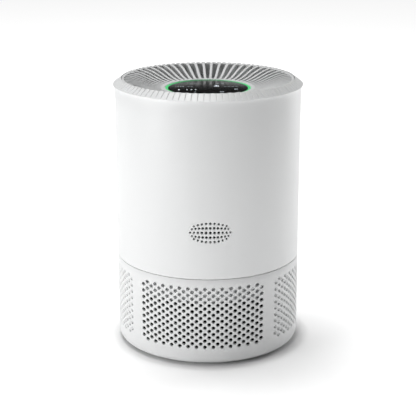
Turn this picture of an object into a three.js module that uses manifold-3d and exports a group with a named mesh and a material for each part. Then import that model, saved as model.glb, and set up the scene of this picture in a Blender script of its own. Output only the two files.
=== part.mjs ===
// A round table-top air purifier, built as separate pieces.
// Millimetres, +Z up, the front (sensor vent) faces -Y, and z = 0 is the surface that it stands on.
// Angles named "turn" are degrees about Z from the front (-Y) towards +X.
import * as THREE from "three";
import { mergeVertices } from "three/addons/utils/BufferGeometryUtils.js";
import Module from "manifold-3d";

const wasm = await Module();
wasm.setup();

// ---------------------------------------------------------------- driving dimensions

// Overall
const SHELL_R = 98.3; // outside of the base and body shells
const BODY_H = 183.6; // length of the body shell
const WALL = 2.5; // moulded wall
const FIT = 0.3; // gap between pieces that touch
const RUN = 1.4; // gap between pieces that turn or slide past each other
const SIDES = 48; // facets round the shells
const DUCT_SIDES = 36; // facets round the duct and the filter
const INNER_SIDES = 28; // facets round the smaller turned pieces

// Feet
const FOOT_COUNT = 4;
const FOOT_R = 9;
const FOOT_INSET = 24.3; // from the shell's outside to the pads' centres
const FOOT_SHOW = 1.5; // how far the pads stand out below the base
const FOOT_SUNK = 1; // how far they sit in their pockets
const FOOT_TURN = 45;

// Base
const BASE_H = 93.6; // height of the base shell
const BASE_FILLET = 6.5;
const SEAM = 0.6; // gap between the base and the body shell
const PANEL_TURN = -5.8; // centre of the front perforated panel
const SEAT_RING_INSET = 5; // from the filter's edge to the ring on the base floor that it stands on
const SEAT_RING_H = 3;
const GUIDE_RING_H = 7; // ring round the filter's lower cap
const RIB_WALL = 2;

// Filter
const INTAKE_GAP = 11.8; // between the base wall and the filter
const FILTER_DROP = 3.1; // from the base's rim down to the filter's top
const BORE_STEP = 0.5; // the filter's bore is this much wider than the inlet
const CAP_T = 3;
const CAP_RIM_H = 6.7;
const CAP_RIM_WALL = 1.5;
const PLEAT_COUNT = 48;
const PLEAT_DEPTH = 20;
const CARBON_STEP = 4; // the carbon's bore is this much wider than the cap's
const MESH_T = 1.8;
const PLEAT_T = 1.6; // thickness across a pleat's tip
const TAB_W = 16;
const TAB_INSET = 3; // from the cap's edge
const TAB_SEAL_GAP = 2;
const TAB_T = 0.8;

// Seal ring between the filter and the fan deck
const SEAL_T = 3.9;
const SEAL_W = 10;

// Fan deck: the floor of the head, with a skirt that goes down inside the base
const DECK_T = 2.5;
const SKIRT_DEPTH = 27.5;
const INLET_R = 46;

// Lock: a nose on each flexible catch sits below a lug in the base
const LOCK_COUNT = 4;
const LOCK_TURN = PANEL_TURN + 45;
const LUG_HALF_ANGLE = 5;
const LUG_H = 2.5;
const LUG_DROP = 13; // from the base's rim down to the lug's top
const CATCH_W = 10;
const CATCH_T = 1.6;
const CATCH_NOSE_H = 3.2;
const CATCH_NOSE_OUT = 3.7; // how far the nose stands out from the catch's leaf
const CATCH_BELOW_NOSE = 3;

// Interlock: a post in the base holds the switch plunger up until the head is turned
const POST_TURN = 154;
const POST_WALL = 4.5;
const POST_INSET = 7.2; // from the base wall's inner face to the middle of the post
const UNLOCK_ANGLE = 15;
const PLUNGER_TRAVEL = 2.5;
const PLUNGER_R = 1.8;
const PLUNGER_HEAD_R = 3;
const PLUNGER_HEAD_H = 1.4;
const PLUNGER_GAP = 0.6;
const POST_DROP = 5; // from the base's rim down to the post's top
const SWITCH_W = 16;
const SWITCH_D = 6;
const SWITCH_H = 10;
const SWITCH_LEG = 3;

// Screws
const SCREW_R = 1.5;
const SCREW_HEAD_R = 3;
const SCREW_HEAD_H = 2.2;
const BOSS_R = 4;
const BOSS_H = 26;
const DECK_SCREW_COUNT = 4;
const DECK_SCREW_INSET = 8.3; // from the shell's inner face to the deck screws
const DECK_SCREW_L = 20;
const DECK_SCREW_TURN = 45;
const MOTOR_SCREW_COUNT = 3;
const MOTOR_SCREW_RING_R = 18;
const MOTOR_SCREW_L = 6.5;
const DUCT_SCREW_COUNT = 3;
const DUCT_SCREW_TURN = 30;
const DUCT_SCREW_L = 5;
const TRAY_SCREW_COUNT = 3;
const TRAY_SCREW_L = 7;

// Air path
const GUARD_T = 2;
const GUARD_SPOKES = 6;
const GUARD_BAR = 1.6;
const GUARD_RIM_W = 6;
const BELL_T = 2;
const BELL_H = 9.4;
const SERVICE_GAP = 13.8; // between the duct and the body shell
const DUCT_FLARE_H = 16;

// Fan
const FAN_SIDE_GAP = 11.5; // between the impeller and the duct
const FAN_H = 52;
const FAN_PLATE_T = 2.5;
const FAN_BLADES = 7;
const FAN_BLADE_T = 2;
const FAN_BLADE_SWEEP = 34; // degrees that a blade leans back
const FAN_GAP = 1.5; // between the bell's lip and the impeller's eye
const FAN_LIFT = 3.5; // between the bell's flange and the impeller
const HUB_R = 9;
const HUB_UP = 2.5;
const HUB_DOWN = 7;
const SHAFT_R = 2.5;
const SHAFT_TAIL = 9;
const NUT_R = 4.5;
const NUT_H = 5.5;

// Motor and its bracket
const MOTOR_R = 30;
const MOTOR_H = 32;
const MOTOR_WALL = 2;
const STATOR_T = 7.5;
const STATOR_H = 21.5;
const ROTOR_GAP = 0.5;
const BEARING_R = 7.6;
const BEARING_H = 4.5;
const BRACKET_GAP = 1.7; // between the impeller's hub and the bracket
const BRACKET_T = 2.5;
const BRACKET_H = 21.5;
const BRACKET_CUP_GAP = 1;
const VANE_COUNT = 5;
const VANE_T = 2;
const COVER_H = 28;

// Crown and outlet grille
const CROWN_OVERHANG = 1.7; // how far the crown stands out past the body shell
const CROWN_EDGE_H = 0.6; // upright edge at the crown's outside
const CROWN_BEVEL_H = 6.3;
const CROWN_BEVEL_W = 8.6;
const CROWN_SPIGOT_H = 6.8;
const CROWN_GAP = 0.5; // shadow gap below the crown
const RIB_COUNT = 60;
const RIB_TURN = 1.9; // where the first rib lies
const RIB_T = 2.5;
const RIB_DEPTH = 9;
const DISH_DEPTH = 10.7; // from the crown's top to the flat middle of the dish
const CENTRE_RING_WALL = 4.7;
const DISH_RIM_DROP = 1; // the ribs' outer ends lie this far below the crown's top
const DISH_LIP_W = 3.8; // the ribs are nearly flat over this width by the rim
const GRILLE_RIM_WALL = 2.5;
const CENTRE_RING_H = 10;

// Touch panel
const LIGHT_R = 45;
const LIGHT_W = 2.4;
const LIGHT_H = 4.7;
const LENS_T = 2.5;
const PANEL_SUNK = 0.8; // below the grille's centre ring
const TRAY_H = 12.4;
const TRAY_T = 2;
const TRAY_WALL = 1.8;
const TRAY_FLANGE_T = 2.5;
const BOARD_T = 1.6;
const BOARD_CLEAR = 2; // between the control board and the tray's wall
const BOARD_UP = 6; // above the tray's floor

// Electronics in the space between the duct and the body shell
const VENT_UP = 49.8; // above the body shell's lower edge
const VENT_HALF_W = 20.2;
const VENT_HALF_H = 10.25;
const VENT_ROWS = [9, 11, 11, 11, 9];
const VENT_PITCH_X = 4.15;
const VENT_PITCH_Z = 5.12;
const VENT_HOLE_R = 1.5;
const VENT_EDGE_HOLE_R = 1.05;
const SENSOR_W = 37;
const SENSOR_H = 23;
const SENSOR_WALL = 3;
const GASKET_T = 0.8;
const POWER_W = 60;
const POWER_H = 60;
const POWER_LEAD_DROP = 6; // from the power board's top down to the motor lead
const JACK_UP = 19; // above the deck
const JACK_W = 14;
const JACK_D = 9.5;
const JACK_H = 13;
const JACK_SOCKET_R = 2.9;
const JACK_PIN_R = 1;
const JACK_RECESS_R = 6.5;
const JACK_COLLAR_WALL = 1.4;
const LEAD_R = 1.6;
const LEAD_CLEAR = 0.8;
const MOTOR_LEAD_UP = 25.5; // above the motor's lower face

// ---------------------------------------------------------------- places worked out from them

const SHELL_IN_R = SHELL_R - WALL;
const CROWN_R = SHELL_R + CROWN_OVERHANG;
const FOOT_RING_R = SHELL_R - FOOT_INSET;
const BASE_FLOOR = FOOT_SHOW + WALL;
const BASE_RIM = FOOT_SHOW + BASE_H;
const BODY_FOOT = BASE_RIM + SEAM;
const BODY_TOP = BODY_FOOT + BODY_H;
const CROWN_FOOT = BODY_TOP + CROWN_GAP;
const CROWN_TOP = CROWN_FOOT + CROWN_EDGE_H + CROWN_BEVEL_H;
const CROWN_IN_R = CROWN_R - CROWN_BEVEL_W;
const FILTER_R = SHELL_IN_R - INTAKE_GAP;
const FILTER_BORE_R = INLET_R + BORE_STEP;
const FILTER_FOOT = BASE_FLOOR + SEAT_RING_H + FIT;
const FILTER_TOP = BASE_RIM - FILTER_DROP;
const SEAT_RING_R = FILTER_R - SEAT_RING_INSET;
const SEAL_FOOT = FILTER_TOP + FIT;
const DECK_FOOT = SEAL_FOOT + SEAL_T + FIT;
const DECK_TOP = DECK_FOOT + DECK_T;
const DECK_SCREW_RING_R = SHELL_IN_R - DECK_SCREW_INSET;
const SKIRT_R = SHELL_IN_R - RUN;
const SKIRT_IN_R = SKIRT_R - WALL;
const SKIRT_FOOT = DECK_FOOT - SKIRT_DEPTH;
const LUG_TOP = BASE_RIM - LUG_DROP;
const LUG_FOOT = LUG_TOP - LUG_H;
const CATCH_R = SKIRT_IN_R - 2 * FIT; // outer face of a catch's leaf
const POST_R = SHELL_IN_R - POST_INSET;
const POST_TOP = BASE_RIM - POST_DROP;
const GUARD_FOOT = DECK_TOP + FIT;
const BELL_FOOT = GUARD_FOOT + GUARD_T + FIT;
const BELL_TOP = BELL_FOOT + BELL_H;
const DUCT_R = SHELL_IN_R - SERVICE_GAP;
const DUCT_IN_R = DUCT_R - WALL;
const FAN_R = DUCT_IN_R - FAN_SIDE_GAP;
const FAN_FOOT = BELL_FOOT + BELL_T + FAN_LIFT;
const FAN_TOP = FAN_FOOT + FAN_H;
const HUB_TOP = FAN_TOP + HUB_UP;
const HUB_FOOT = FAN_TOP - FAN_PLATE_T - HUB_DOWN;
const BRACKET_FOOT = HUB_TOP + BRACKET_GAP;
const BRACKET_TOP = BRACKET_FOOT + BRACKET_H;
const MOTOR_FOOT = BRACKET_FOOT + BRACKET_T + FIT;
const MOTOR_TOP = MOTOR_FOOT + MOTOR_H;
const DISH_FLAT = CROWN_TOP - DISH_DEPTH;
const CENTRE_RING_R = LIGHT_R + FIT; // inside of the grille's centre ring
const DISH_FLAT_R = CENTRE_RING_R + CENTRE_RING_WALL;
const CENTRE_RING_FOOT = DISH_FLAT - CENTRE_RING_H;
const GRILLE_R = CROWN_IN_R - 2 * FIT;
const DISH_CURVE_R = GRILLE_R - DISH_LIP_W;
const DUCT_TOP_R = CROWN_IN_R - 2 * FIT;
const GRILLE_FOOT = CROWN_TOP - RIB_DEPTH - 4;
const DUCT_TOP = GRILLE_FOOT - FIT;
const PANEL_TOP = DISH_FLAT - PANEL_SUNK;
const LIGHT_FOOT = PANEL_TOP - LIGHT_H;
const LENS_R = LIGHT_R - LIGHT_W - FIT;
const LENS_FOOT = PANEL_TOP - LENS_T;
const TRAY_TOP = LENS_FOOT - FIT;
const TRAY_FOOT = TRAY_TOP - TRAY_H;
const BOARD_FOOT = TRAY_FOOT + TRAY_T + BOARD_UP;
const BOARD_R = LENS_R - TRAY_WALL - BOARD_CLEAR;
const POWER_Y = DUCT_R + 2.5;
const LEAD_Z = MOTOR_FOOT + MOTOR_LEAD_UP;
const POWER_TOP = LEAD_Z + POWER_LEAD_DROP;
const POWER_FOOT = POWER_TOP - POWER_H;
const VENT_Z = BODY_FOOT + VENT_UP;
const JACK_Z = DECK_TOP + JACK_UP;
const JACK_FACE = DUCT_R + 1 + JACK_D;

// ---------------------------------------------------------------- helpers

const rad = THREE.MathUtils.degToRad;

/** A point at radius r and at a turn from the front. */
function at(r, turn, z = 0) {
  return new THREE.Vector3(r * Math.sin(rad(turn)), -r * Math.cos(rad(turn)), z);
}

/** Distance from the axis to the middle of a facet, on a turned piece of radius r. */
function flatR(r, sides) {
  return r * Math.cos(Math.PI / sides);
}

/** A closed geometry as a solid that can be joined and cut, with its faces outwards. */
function solid(geometry) {
  const bare = geometry.clone();
  bare.deleteAttribute("normal");
  bare.deleteAttribute("uv");
  const merged = mergeVertices(bare, 1e-4);
  const points = merged.attributes.position.array;
  const corners = [];
  let volume = 0;
  for (let i = 0; i < merged.index.count; i += 3) {
    const [a, b, c] = [0, 1, 2].map((k) => merged.index.getX(i + k));
    if (a === b || b === c || c === a) continue;
    corners.push([a, b, c]);
    const [p, q, s] = [a, b, c].map((k) => new THREE.Vector3().fromArray(points, 3 * k));
    volume += p.dot(q.cross(s));
  }
  const turned = volume < 0 ? corners.map(([a, b, c]) => [a, c, b]) : corners;
  return new wasm.Manifold(new wasm.Mesh({
    numProp: 3,
    vertProperties: Float32Array.from(points),
    triVerts: Uint32Array.from(turned.flat()),
  }));
}

/** A solid back as a geometry. */
function shaped(body) {
  const mesh = body.getMesh();
  const geometry = new THREE.BufferGeometry();
  const points = new Float32Array((mesh.vertProperties.length / mesh.numProp) * 3);
  for (let i = 0; i < points.length / 3; i += 1) {
    for (let k = 0; k < 3; k += 1) points[3 * i + k] = mesh.vertProperties[mesh.numProp * i + k];
  }
  geometry.setAttribute("position", new THREE.BufferAttribute(points, 3));
  geometry.setIndex(new THREE.BufferAttribute(Uint32Array.from(mesh.triVerts), 1));
  geometry.computeVertexNormals();
  return geometry;
}

/** Several geometries joined into one. */
function join(...geometries) {
  return shaped(geometries.map(solid).reduce((whole, piece) => whole.add(piece)));
}

/** A geometry with others cut out of it. */
function cut(geometry, ...tools) {
  return shaped(tools.map(solid).reduce((whole, tool) => whole.subtract(tool), solid(geometry)));
}

/** A profile of [radius, height] points turned about Z. It starts and ends on the axis. */
function turned(profile, sides = SIDES) {
  const points = profile.map(([r, z]) => new THREE.Vector2(r, z));
  const geometry = new THREE.LatheGeometry(points, sides);
  geometry.rotateX(Math.PI / 2);
  return shaped(solid(geometry));
}

/** A closed profile turned about Z. */
function turnedRing(profile, sides = SIDES) {
  return turned([...profile, profile[0]], sides);
}

/** A plain ring with a rectangular section. */
function ring(inR, outR, foot, top, sides = SIDES) {
  return turnedRing([[inR, foot], [outR, foot], [outR, top], [inR, top]], sides);
}

/** An upright cylinder standing on z = foot. */
function post(r, foot, top, sides = 16) {
  const geometry = new THREE.CylinderGeometry(r, r, top - foot, sides);
  geometry.rotateX(Math.PI / 2);
  geometry.translate(0, 0, (foot + top) / 2);
  return geometry;
}

/** A box with its lowest and highest corners. */
function box(low, high) {
  const size = high.map((value, k) => value - low[k]);
  const geometry = new THREE.BoxGeometry(...size);
  geometry.translate(...high.map((value, k) => (value + low[k]) / 2));
  return geometry;
}

/** A cylinder lying along Y, between two y values at height z. */
function rodY(r, y0, y1, z, sides = 16) {
  const geometry = new THREE.CylinderGeometry(r, r, Math.abs(y1 - y0), sides);
  geometry.translate(0, (y0 + y1) / 2, z);
  return geometry;
}

/** A geometry moved to a radius and turn; its own -Y side faces outwards there. */
function spun(geometry, turn) {
  const copy = geometry.clone();
  copy.rotateZ(rad(turn));
  return copy;
}

/** The same geometry repeated round Z. */
function repeat(geometry, count, firstTurn = 0) {
  return Array.from({ length: count }, (_, k) => spun(geometry, firstTurn + (360 / count) * k));
}

/** Part of a ring, between two turns. */
function sector(inR, outR, turn0, turn1, foot, top, steps = 4) {
  const outline = new THREE.Shape();
  for (let k = 0; k <= steps; k += 1) {
    const p = at(outR, turn0 + ((turn1 - turn0) * k) / steps);
    if (k === 0) outline.moveTo(p.x, p.y);
    else outline.lineTo(p.x, p.y);
  }
  for (let k = steps; k >= 0; k -= 1) {
    const p = at(inR, turn0 + ((turn1 - turn0) * k) / steps);
    outline.lineTo(p.x, p.y);
  }
  const geometry = new THREE.ExtrudeGeometry(outline, { depth: top - foot, bevelEnabled: false });
  geometry.translate(0, 0, foot);
  return geometry;
}

/** An outline in the radius-height plane made a plate of thickness t that stands radially at the front. */
function radialPlate(points, t) {
  const outline = new THREE.Shape(points.map(([r, z]) => new THREE.Vector2(r, z)));
  const geometry = new THREE.ExtrudeGeometry(outline, { depth: t, bevelEnabled: false });
  geometry.rotateX(Math.PI / 2); // the outline's height becomes z, its depth runs along -Y
  geometry.translate(0, t / 2, 0);
  geometry.rotateZ(-Math.PI / 2); // +X becomes -Y
  return geometry;
}

/** Points of a round corner, from angle a0 to a1 in degrees. */
function corner(r, z, radius, a0, a1, steps = 5) {
  return Array.from({ length: steps + 1 }, (_, k) => {
    const a = rad(a0 + ((a1 - a0) * k) / steps);
    return [r + radius * Math.cos(a), z + radius * Math.sin(a)];
  });
}

/** A pan-head screw that points along +Z, with the underside of its head at z = 0. */
function screw(length) {
  return turned([
    [0, -SCREW_HEAD_H],
    [SCREW_HEAD_R * 0.8, -SCREW_HEAD_H],
    [SCREW_HEAD_R, 0],
    [SCREW_R, 0],
    [SCREW_R, length],
    [0, length],
  ], 8);
}

/** A round lead along a smooth curve. */
function lead(points, radius) {
  const curve = new THREE.CatmullRomCurve3(points.map((p) => new THREE.Vector3(...p)));
  const outline = new THREE.Shape();
  outline.absarc(0, 0, radius, 0, Math.PI * 2);
  return new THREE.ExtrudeGeometry(outline, { steps: 18, curveSegments: 3, extrudePath: curve });
}

// ---------------------------------------------------------------- materials

const finish = {
  shell: { color: 0xf1f2f2, roughness: 0.42, metalness: 0 },
  innerWhite: { color: 0xe2e4e5, roughness: 0.55, metalness: 0 },
  lens: { color: 0x0b0c0d, roughness: 0.08, metalness: 0 },
  light: { color: 0x4fd873, roughness: 0.3, metalness: 0 },
  rubber: { color: 0x2a2b2d, roughness: 0.8, metalness: 0 },
  media: { color: 0xf0efe9, roughness: 0.9, metalness: 0 },
  carbon: { color: 0x1c1d1e, roughness: 0.95, metalness: 0 },
  mesh: { color: 0x232527, roughness: 0.85, metalness: 0 },
  foam: { color: 0x44474a, roughness: 0.95, metalness: 0 },
  darkPlastic: { color: 0x3a3d40, roughness: 0.5, metalness: 0 },
  fabricTab: { color: 0x9ea3a7, roughness: 0.9, metalness: 0 },
  steel: { color: 0xb7babd, roughness: 0.35, metalness: 1 },
  zinc: { color: 0xc9ccd0, roughness: 0.3, metalness: 1 },
  magnet: { color: 0x4b4d50, roughness: 0.5, metalness: 0.6 },
  winding: { color: 0xb56a3b, roughness: 0.4, metalness: 0.8 },
  board: { color: 0x1d5a3a, roughness: 0.5, metalness: 0 },
  lead: { color: 0x1a1a1c, roughness: 0.6, metalness: 0 },
};

/** A named mesh with a material of its own. */
function piece(name, geometry, look) {
  const mesh = new THREE.Mesh(geometry, new THREE.MeshStandardMaterial(look));
  mesh.name = name;
  return mesh;
}

/** Copies of a piece round Z, numbered from 1. */
function piecesRound(name, make, look, count, firstTurn) {
  return Array.from({ length: count }, (_, k) => {
    const mesh = piece(`${name}_${k + 1}`, make(), look);
    mesh.rotation.z = rad(firstTurn + (360 / count) * k);
    return mesh;
  });
}

// ---------------------------------------------------------------- base

/** The cup that the unit stands on: perforated wall, floor, filter rings, lock lugs, interlock post. */
function baseShell() {
  const inFillet = BASE_FILLET - WALL;
  const cup = turned([
    [0, FOOT_SHOW],
    ...corner(SHELL_R - BASE_FILLET, FOOT_SHOW + BASE_FILLET, BASE_FILLET, -90, 0, 4),
    [SHELL_R, BASE_RIM],
    [SHELL_IN_R, BASE_RIM],
    ...corner(SHELL_IN_R - inFillet, BASE_FLOOR + inFillet, inFillet, 0, -90, 2),
    [0, BASE_FLOOR],
  ]);
  const sunk = 0.5; // the ribs start inside the floor
  const guideR = FILTER_R + RUN;
  const rings = [
    ring(SEAT_RING_R - RIB_WALL / 2, SEAT_RING_R + RIB_WALL / 2, BASE_FLOOR - sunk,
      BASE_FLOOR + SEAT_RING_H, DUCT_SIDES),
    ring(guideR, guideR + RIB_WALL, BASE_FLOOR - sunk, BASE_FLOOR + GUIDE_RING_H, DUCT_SIDES),
  ];
  const lug = sector(SKIRT_R + FIT, SHELL_IN_R + 1, -LUG_HALF_ANGLE, LUG_HALF_ANGLE, LUG_FOOT, LUG_TOP);
  const pocket = post(FOOT_R + FIT, 0, FOOT_SHOW + FOOT_SUNK + FIT, 16);
  pocket.translate(0, -FOOT_RING_R, 0);
  const whole = join(cup, ...rings, ...repeat(lug, LOCK_COUNT, LOCK_TURN), interlockPost());
  return cut(whole, ...repeat(pocket, FOOT_COUNT, FOOT_TURN));
}

/** The post, whose top falls away by the plunger's travel over the unlocking turn. */
function interlockPost() {
  const margin = 2.5; // degrees past each end of the plunger's path
  const steps = 4;
  const slope = PLUNGER_TRAVEL / UNLOCK_ANGLE;
  const inR = POST_R - POST_WALL / 2;
  const outR = POST_R + POST_WALL / 2;
  const stem = sector(inR, outR, -margin, UNLOCK_ANGLE + margin, BASE_FLOOR - 0.5, POST_TOP + 1, steps);
  // A wedge above the post's sloping top. It is cut off as one facet for each step.
  const wedges = Array.from({ length: steps }, (_, k) => {
    const span = (UNLOCK_ANGLE + 2 * margin) / steps;
    const turn0 = -margin + span * k;
    const turn1 = turn0 + span;
    const wedge = new THREE.BufferGeometry();
    const corners = [];
    for (const [turn, edge] of [[turn0, -0.01], [turn1, 0.01]]) {
      for (const r of [inR - 2, outR + 2]) {
        const low = at(r, turn + edge, POST_TOP - slope * turn);
        corners.push(low.x, low.y, low.z, low.x, low.y, POST_TOP + 4);
      }
    }
    wedge.setAttribute("position", new THREE.BufferAttribute(new Float32Array(corners), 3));
    const faces = [0, 1, 3, 0, 3, 2, 4, 6, 7, 4, 7, 5, 0, 4, 5, 0, 5, 1, 2, 3, 7, 2, 7, 6, 0, 2, 6, 0, 6, 4];
    wedge.setIndex([...faces, 1, 5, 7, 1, 7, 3]);
    return wedge;
  });
  const wallRib = sector(outR - 1, SHELL_IN_R + 0.5, UNLOCK_ANGLE / 2 - 1, UNLOCK_ANGLE / 2 + 1,
    BASE_FLOOR, SKIRT_FOOT - 3, 1);
  return spun(join(cut(stem, ...wedges), wallRib), POST_TURN);
}

function footPad() {
  const pad = post(FOOT_R, 0, FOOT_SHOW + FOOT_SUNK, 16);
  pad.translate(0, -FOOT_RING_R, 0);
  return pad;
}

// ---------------------------------------------------------------- filter

const MESH_R = FILTER_R - 0.2;
const MEDIA_R = flatR(MESH_R - MESH_T, DUCT_SIDES) - FIT;
const MEDIA_IN_R = MEDIA_R - PLEAT_DEPTH;
const CARBON_R = MEDIA_IN_R - FIT;
const MEDIA_FOOT = FILTER_FOOT + CAP_T + FIT;
const MEDIA_TOP = FILTER_TOP - CAP_T - FIT;
const SEAL_IN_R = FILTER_BORE_R + BORE_STEP;

/** The filter's closed lower cap, a shallow tray that the media is potted in. */
function filterBottomCap() {
  return turned([
    [0, FILTER_FOOT],
    [FILTER_R, FILTER_FOOT],
    [FILTER_R, FILTER_FOOT + CAP_RIM_H],
    [FILTER_R - CAP_RIM_WALL, FILTER_FOOT + CAP_RIM_H],
    [FILTER_R - CAP_RIM_WALL, FILTER_FOOT + CAP_T],
    [0, FILTER_FOOT + CAP_T],
  ], DUCT_SIDES);
}

/** The filter's upper cap, open in the middle. */
function filterTopCap() {
  return turnedRing([
    [FILTER_BORE_R, FILTER_TOP],
    [FILTER_BORE_R, FILTER_TOP - CAP_T],
    [FILTER_R - CAP_RIM_WALL, FILTER_TOP - CAP_T],
    [FILTER_R - CAP_RIM_WALL, FILTER_TOP - CAP_RIM_H],
    [FILTER_R, FILTER_TOP - CAP_RIM_H],
    [FILTER_R, FILTER_TOP],
  ], DUCT_SIDES);
}

/** One folded sheet: a zigzag wall closed on itself, PLEAT_T thick across its tips. */
function filterMedia() {
  const wave = (outR, inR) => Array.from({ length: PLEAT_COUNT * 2 }, (_, k) => {
    const p = at(k % 2 === 0 ? outR : inR, (180 / PLEAT_COUNT) * k);
    return new THREE.Vector2(p.x, p.y);
  });
  const outline = new THREE.Shape(wave(MEDIA_R, MEDIA_IN_R + PLEAT_T * 4));
  outline.holes.push(new THREE.Path(wave(MEDIA_R - PLEAT_T * 4, MEDIA_IN_R)));
  const geometry = new THREE.ExtrudeGeometry(outline, { depth: MEDIA_TOP - MEDIA_FOOT, bevelEnabled: false });
  geometry.translate(0, 0, MEDIA_FOOT);
  return shaped(solid(geometry));
}

function carbonLayer() {
  return ring(FILTER_BORE_R + CARBON_STEP, CARBON_R, MEDIA_FOOT, MEDIA_TOP, INNER_SIDES);
}

function prefilterMesh() {
  const foot = FILTER_FOOT + CAP_RIM_H + FIT;
  return ring(MESH_R - MESH_T, MESH_R, foot, FILTER_TOP - CAP_RIM_H - FIT, DUCT_SIDES);
}

/** The tape tab that the filter is pulled out by, lying on its top cap. */
function pullTab() {
  const outline = new THREE.Shape();
  const half = TAB_W / 2;
  const outR = FILTER_R - TAB_INSET;
  const inR = SEAL_IN_R + SEAL_W + TAB_SEAL_GAP;
  const round = Math.min(half - 1, (outR - inR) / 2);
  outline.moveTo(-half, -inR);
  outline.lineTo(-half, -outR + round);
  outline.absarc(-half + round, -outR + round, round, Math.PI, Math.PI * 1.5);
  outline.absarc(half - round, -outR + round, round, Math.PI * 1.5, Math.PI * 2);
  outline.lineTo(half, -inR);
  const tab = new THREE.ExtrudeGeometry(outline, { depth: TAB_T, bevelEnabled: false, curveSegments: 3 });
  tab.translate(0, 0, FILTER_TOP + FIT);
  return tab;
}

function sealRing() {
  const round = SEAL_T / 4;
  const outR = SEAL_IN_R + SEAL_W;
  return turnedRing([
    [SEAL_IN_R, SEAL_FOOT],
    [outR, SEAL_FOOT],
    [outR, SEAL_FOOT + SEAL_T - round],
    [outR - round, SEAL_FOOT + SEAL_T],
    [SEAL_IN_R + round, SEAL_FOOT + SEAL_T],
    [SEAL_IN_R, SEAL_FOOT + SEAL_T - round],
  ], INNER_SIDES);
}

// ---------------------------------------------------------------- head: deck and lock

const NOSE_TOP = LUG_FOOT - FIT;
const NOSE_FOOT = NOSE_TOP - CATCH_NOSE_H;

/** The head's floor with the inlet, and the skirt that goes down inside the base. */
function fanDeck() {
  const lipR = SHELL_IN_R - FIT;
  const lipFoot = BASE_RIM + 1;
  const plate = turnedRing([
    [SKIRT_R, SKIRT_FOOT],
    [SKIRT_R, lipFoot],
    [lipR, lipFoot],
    [lipR, DECK_TOP],
    [INLET_R, DECK_TOP],
    [INLET_R, DECK_FOOT],
    [SKIRT_IN_R, DECK_FOOT],
    [SKIRT_IN_R, SKIRT_FOOT],
  ]);
  const half = CATCH_W / 2 - 0.5 + FIT;
  const window = box([-half, -SKIRT_R - 1, NOSE_FOOT - 2], [half, -SKIRT_IN_R + 2, NOSE_TOP + 2]);
  const screwHole = post(SCREW_R + FIT, DECK_FOOT - 1, DECK_TOP + 1, 12);
  screwHole.translate(0, -DECK_SCREW_RING_R, 0);
  const plungerHole = post(PLUNGER_R + FIT, DECK_FOOT - 1, DECK_TOP + 1, 12);
  plungerHole.translate(0, -POST_R, 0);
  return cut(plate, ...repeat(window, LOCK_COUNT, LOCK_TURN),
    ...repeat(screwHole, DECK_SCREW_COUNT, DECK_SCREW_TURN), spun(plungerHole, POST_TURN));
}

/** A springy leaf inside the skirt, with a nose that reaches out below the base's lug. */
function lockCatch() {
  const leafFoot = NOSE_FOOT - CATCH_BELOW_NOSE;
  const outline = [
    [CATCH_R - CATCH_T, leafFoot],
    [CATCH_R, leafFoot],
    [CATCH_R, NOSE_FOOT],
    [CATCH_R + CATCH_NOSE_OUT, NOSE_FOOT + CATCH_NOSE_H / 2],
    [CATCH_R + CATCH_NOSE_OUT, NOSE_TOP],
    [CATCH_R, NOSE_TOP],
    [CATCH_R, DECK_FOOT - FIT],
    [CATCH_R - CATCH_T, DECK_FOOT - FIT],
  ];
  return radialPlate(outline, CATCH_W - 1);
}

/** The safety switch, a small block that stands on two legs over its plunger. */
function interlockSwitch() {
  const outline = new THREE.Shape();
  const legTop = PLUNGER_TRAVEL + PLUNGER_HEAD_H + 2 * FIT;
  const half = SWITCH_W / 2;
  const inner = half - SWITCH_LEG;
  const corners = [[-half, 0], [-inner, 0], [-inner, legTop], [inner, legTop], [inner, 0], [half, 0],
    [half, legTop + SWITCH_H], [-half, legTop + SWITCH_H]];
  outline.setFromPoints(corners.map(([x, z]) => new THREE.Vector2(x, z)));
  const block = new THREE.ExtrudeGeometry(outline, { depth: SWITCH_D, bevelEnabled: false });
  block.rotateX(Math.PI / 2);
  block.translate(0, SWITCH_D / 2 - POST_R, DECK_TOP + FIT);
  return block;
}

/** The pin between the interlock post and the switch. */
function interlockPlunger() {
  const headFoot = DECK_TOP + FIT + PLUNGER_TRAVEL;
  const pin = turned([
    [0, POST_TOP + PLUNGER_GAP],
    [PLUNGER_R * 0.6, POST_TOP + PLUNGER_GAP],
    [PLUNGER_R, POST_TOP + PLUNGER_GAP + 0.6],
    [PLUNGER_R, headFoot],
    [PLUNGER_HEAD_R, headFoot],
    [PLUNGER_HEAD_R, headFoot + PLUNGER_HEAD_H],
    [0, headFoot + PLUNGER_HEAD_H],
  ], 12);
  pin.translate(0, -POST_R, 0);
  return pin;
}

/** A screw from below through the deck into a boss of the body shell. */
function deckScrew() {
  const item = screw(DECK_SCREW_L);
  item.translate(0, -DECK_SCREW_RING_R, DECK_FOOT - FIT);
  return item;
}

// ---------------------------------------------------------------- head: air path

/** Spokes and rings across the inlet, held between the deck and the bell. */
function inletGuard() {
  const rimIn = INLET_R + 3;
  const top = GUARD_FOOT + GUARD_T;
  const hoops = [rimIn / 3, (rimIn * 2) / 3].map((r) =>
    ring(r - GUARD_BAR / 2, r + GUARD_BAR / 2, GUARD_FOOT, top, GUARD_SPOKES * 3));
  const bar = box([-GUARD_BAR / 2, -rimIn - 1, GUARD_FOOT], [GUARD_BAR / 2, -3, top]);
  return join(ring(rimIn, rimIn + GUARD_RIM_W, GUARD_FOOT, top, INNER_SIDES), ...hoops,
    ...repeat(bar, GUARD_SPOKES), post(5, GUARD_FOOT, top, 12));
}

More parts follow.
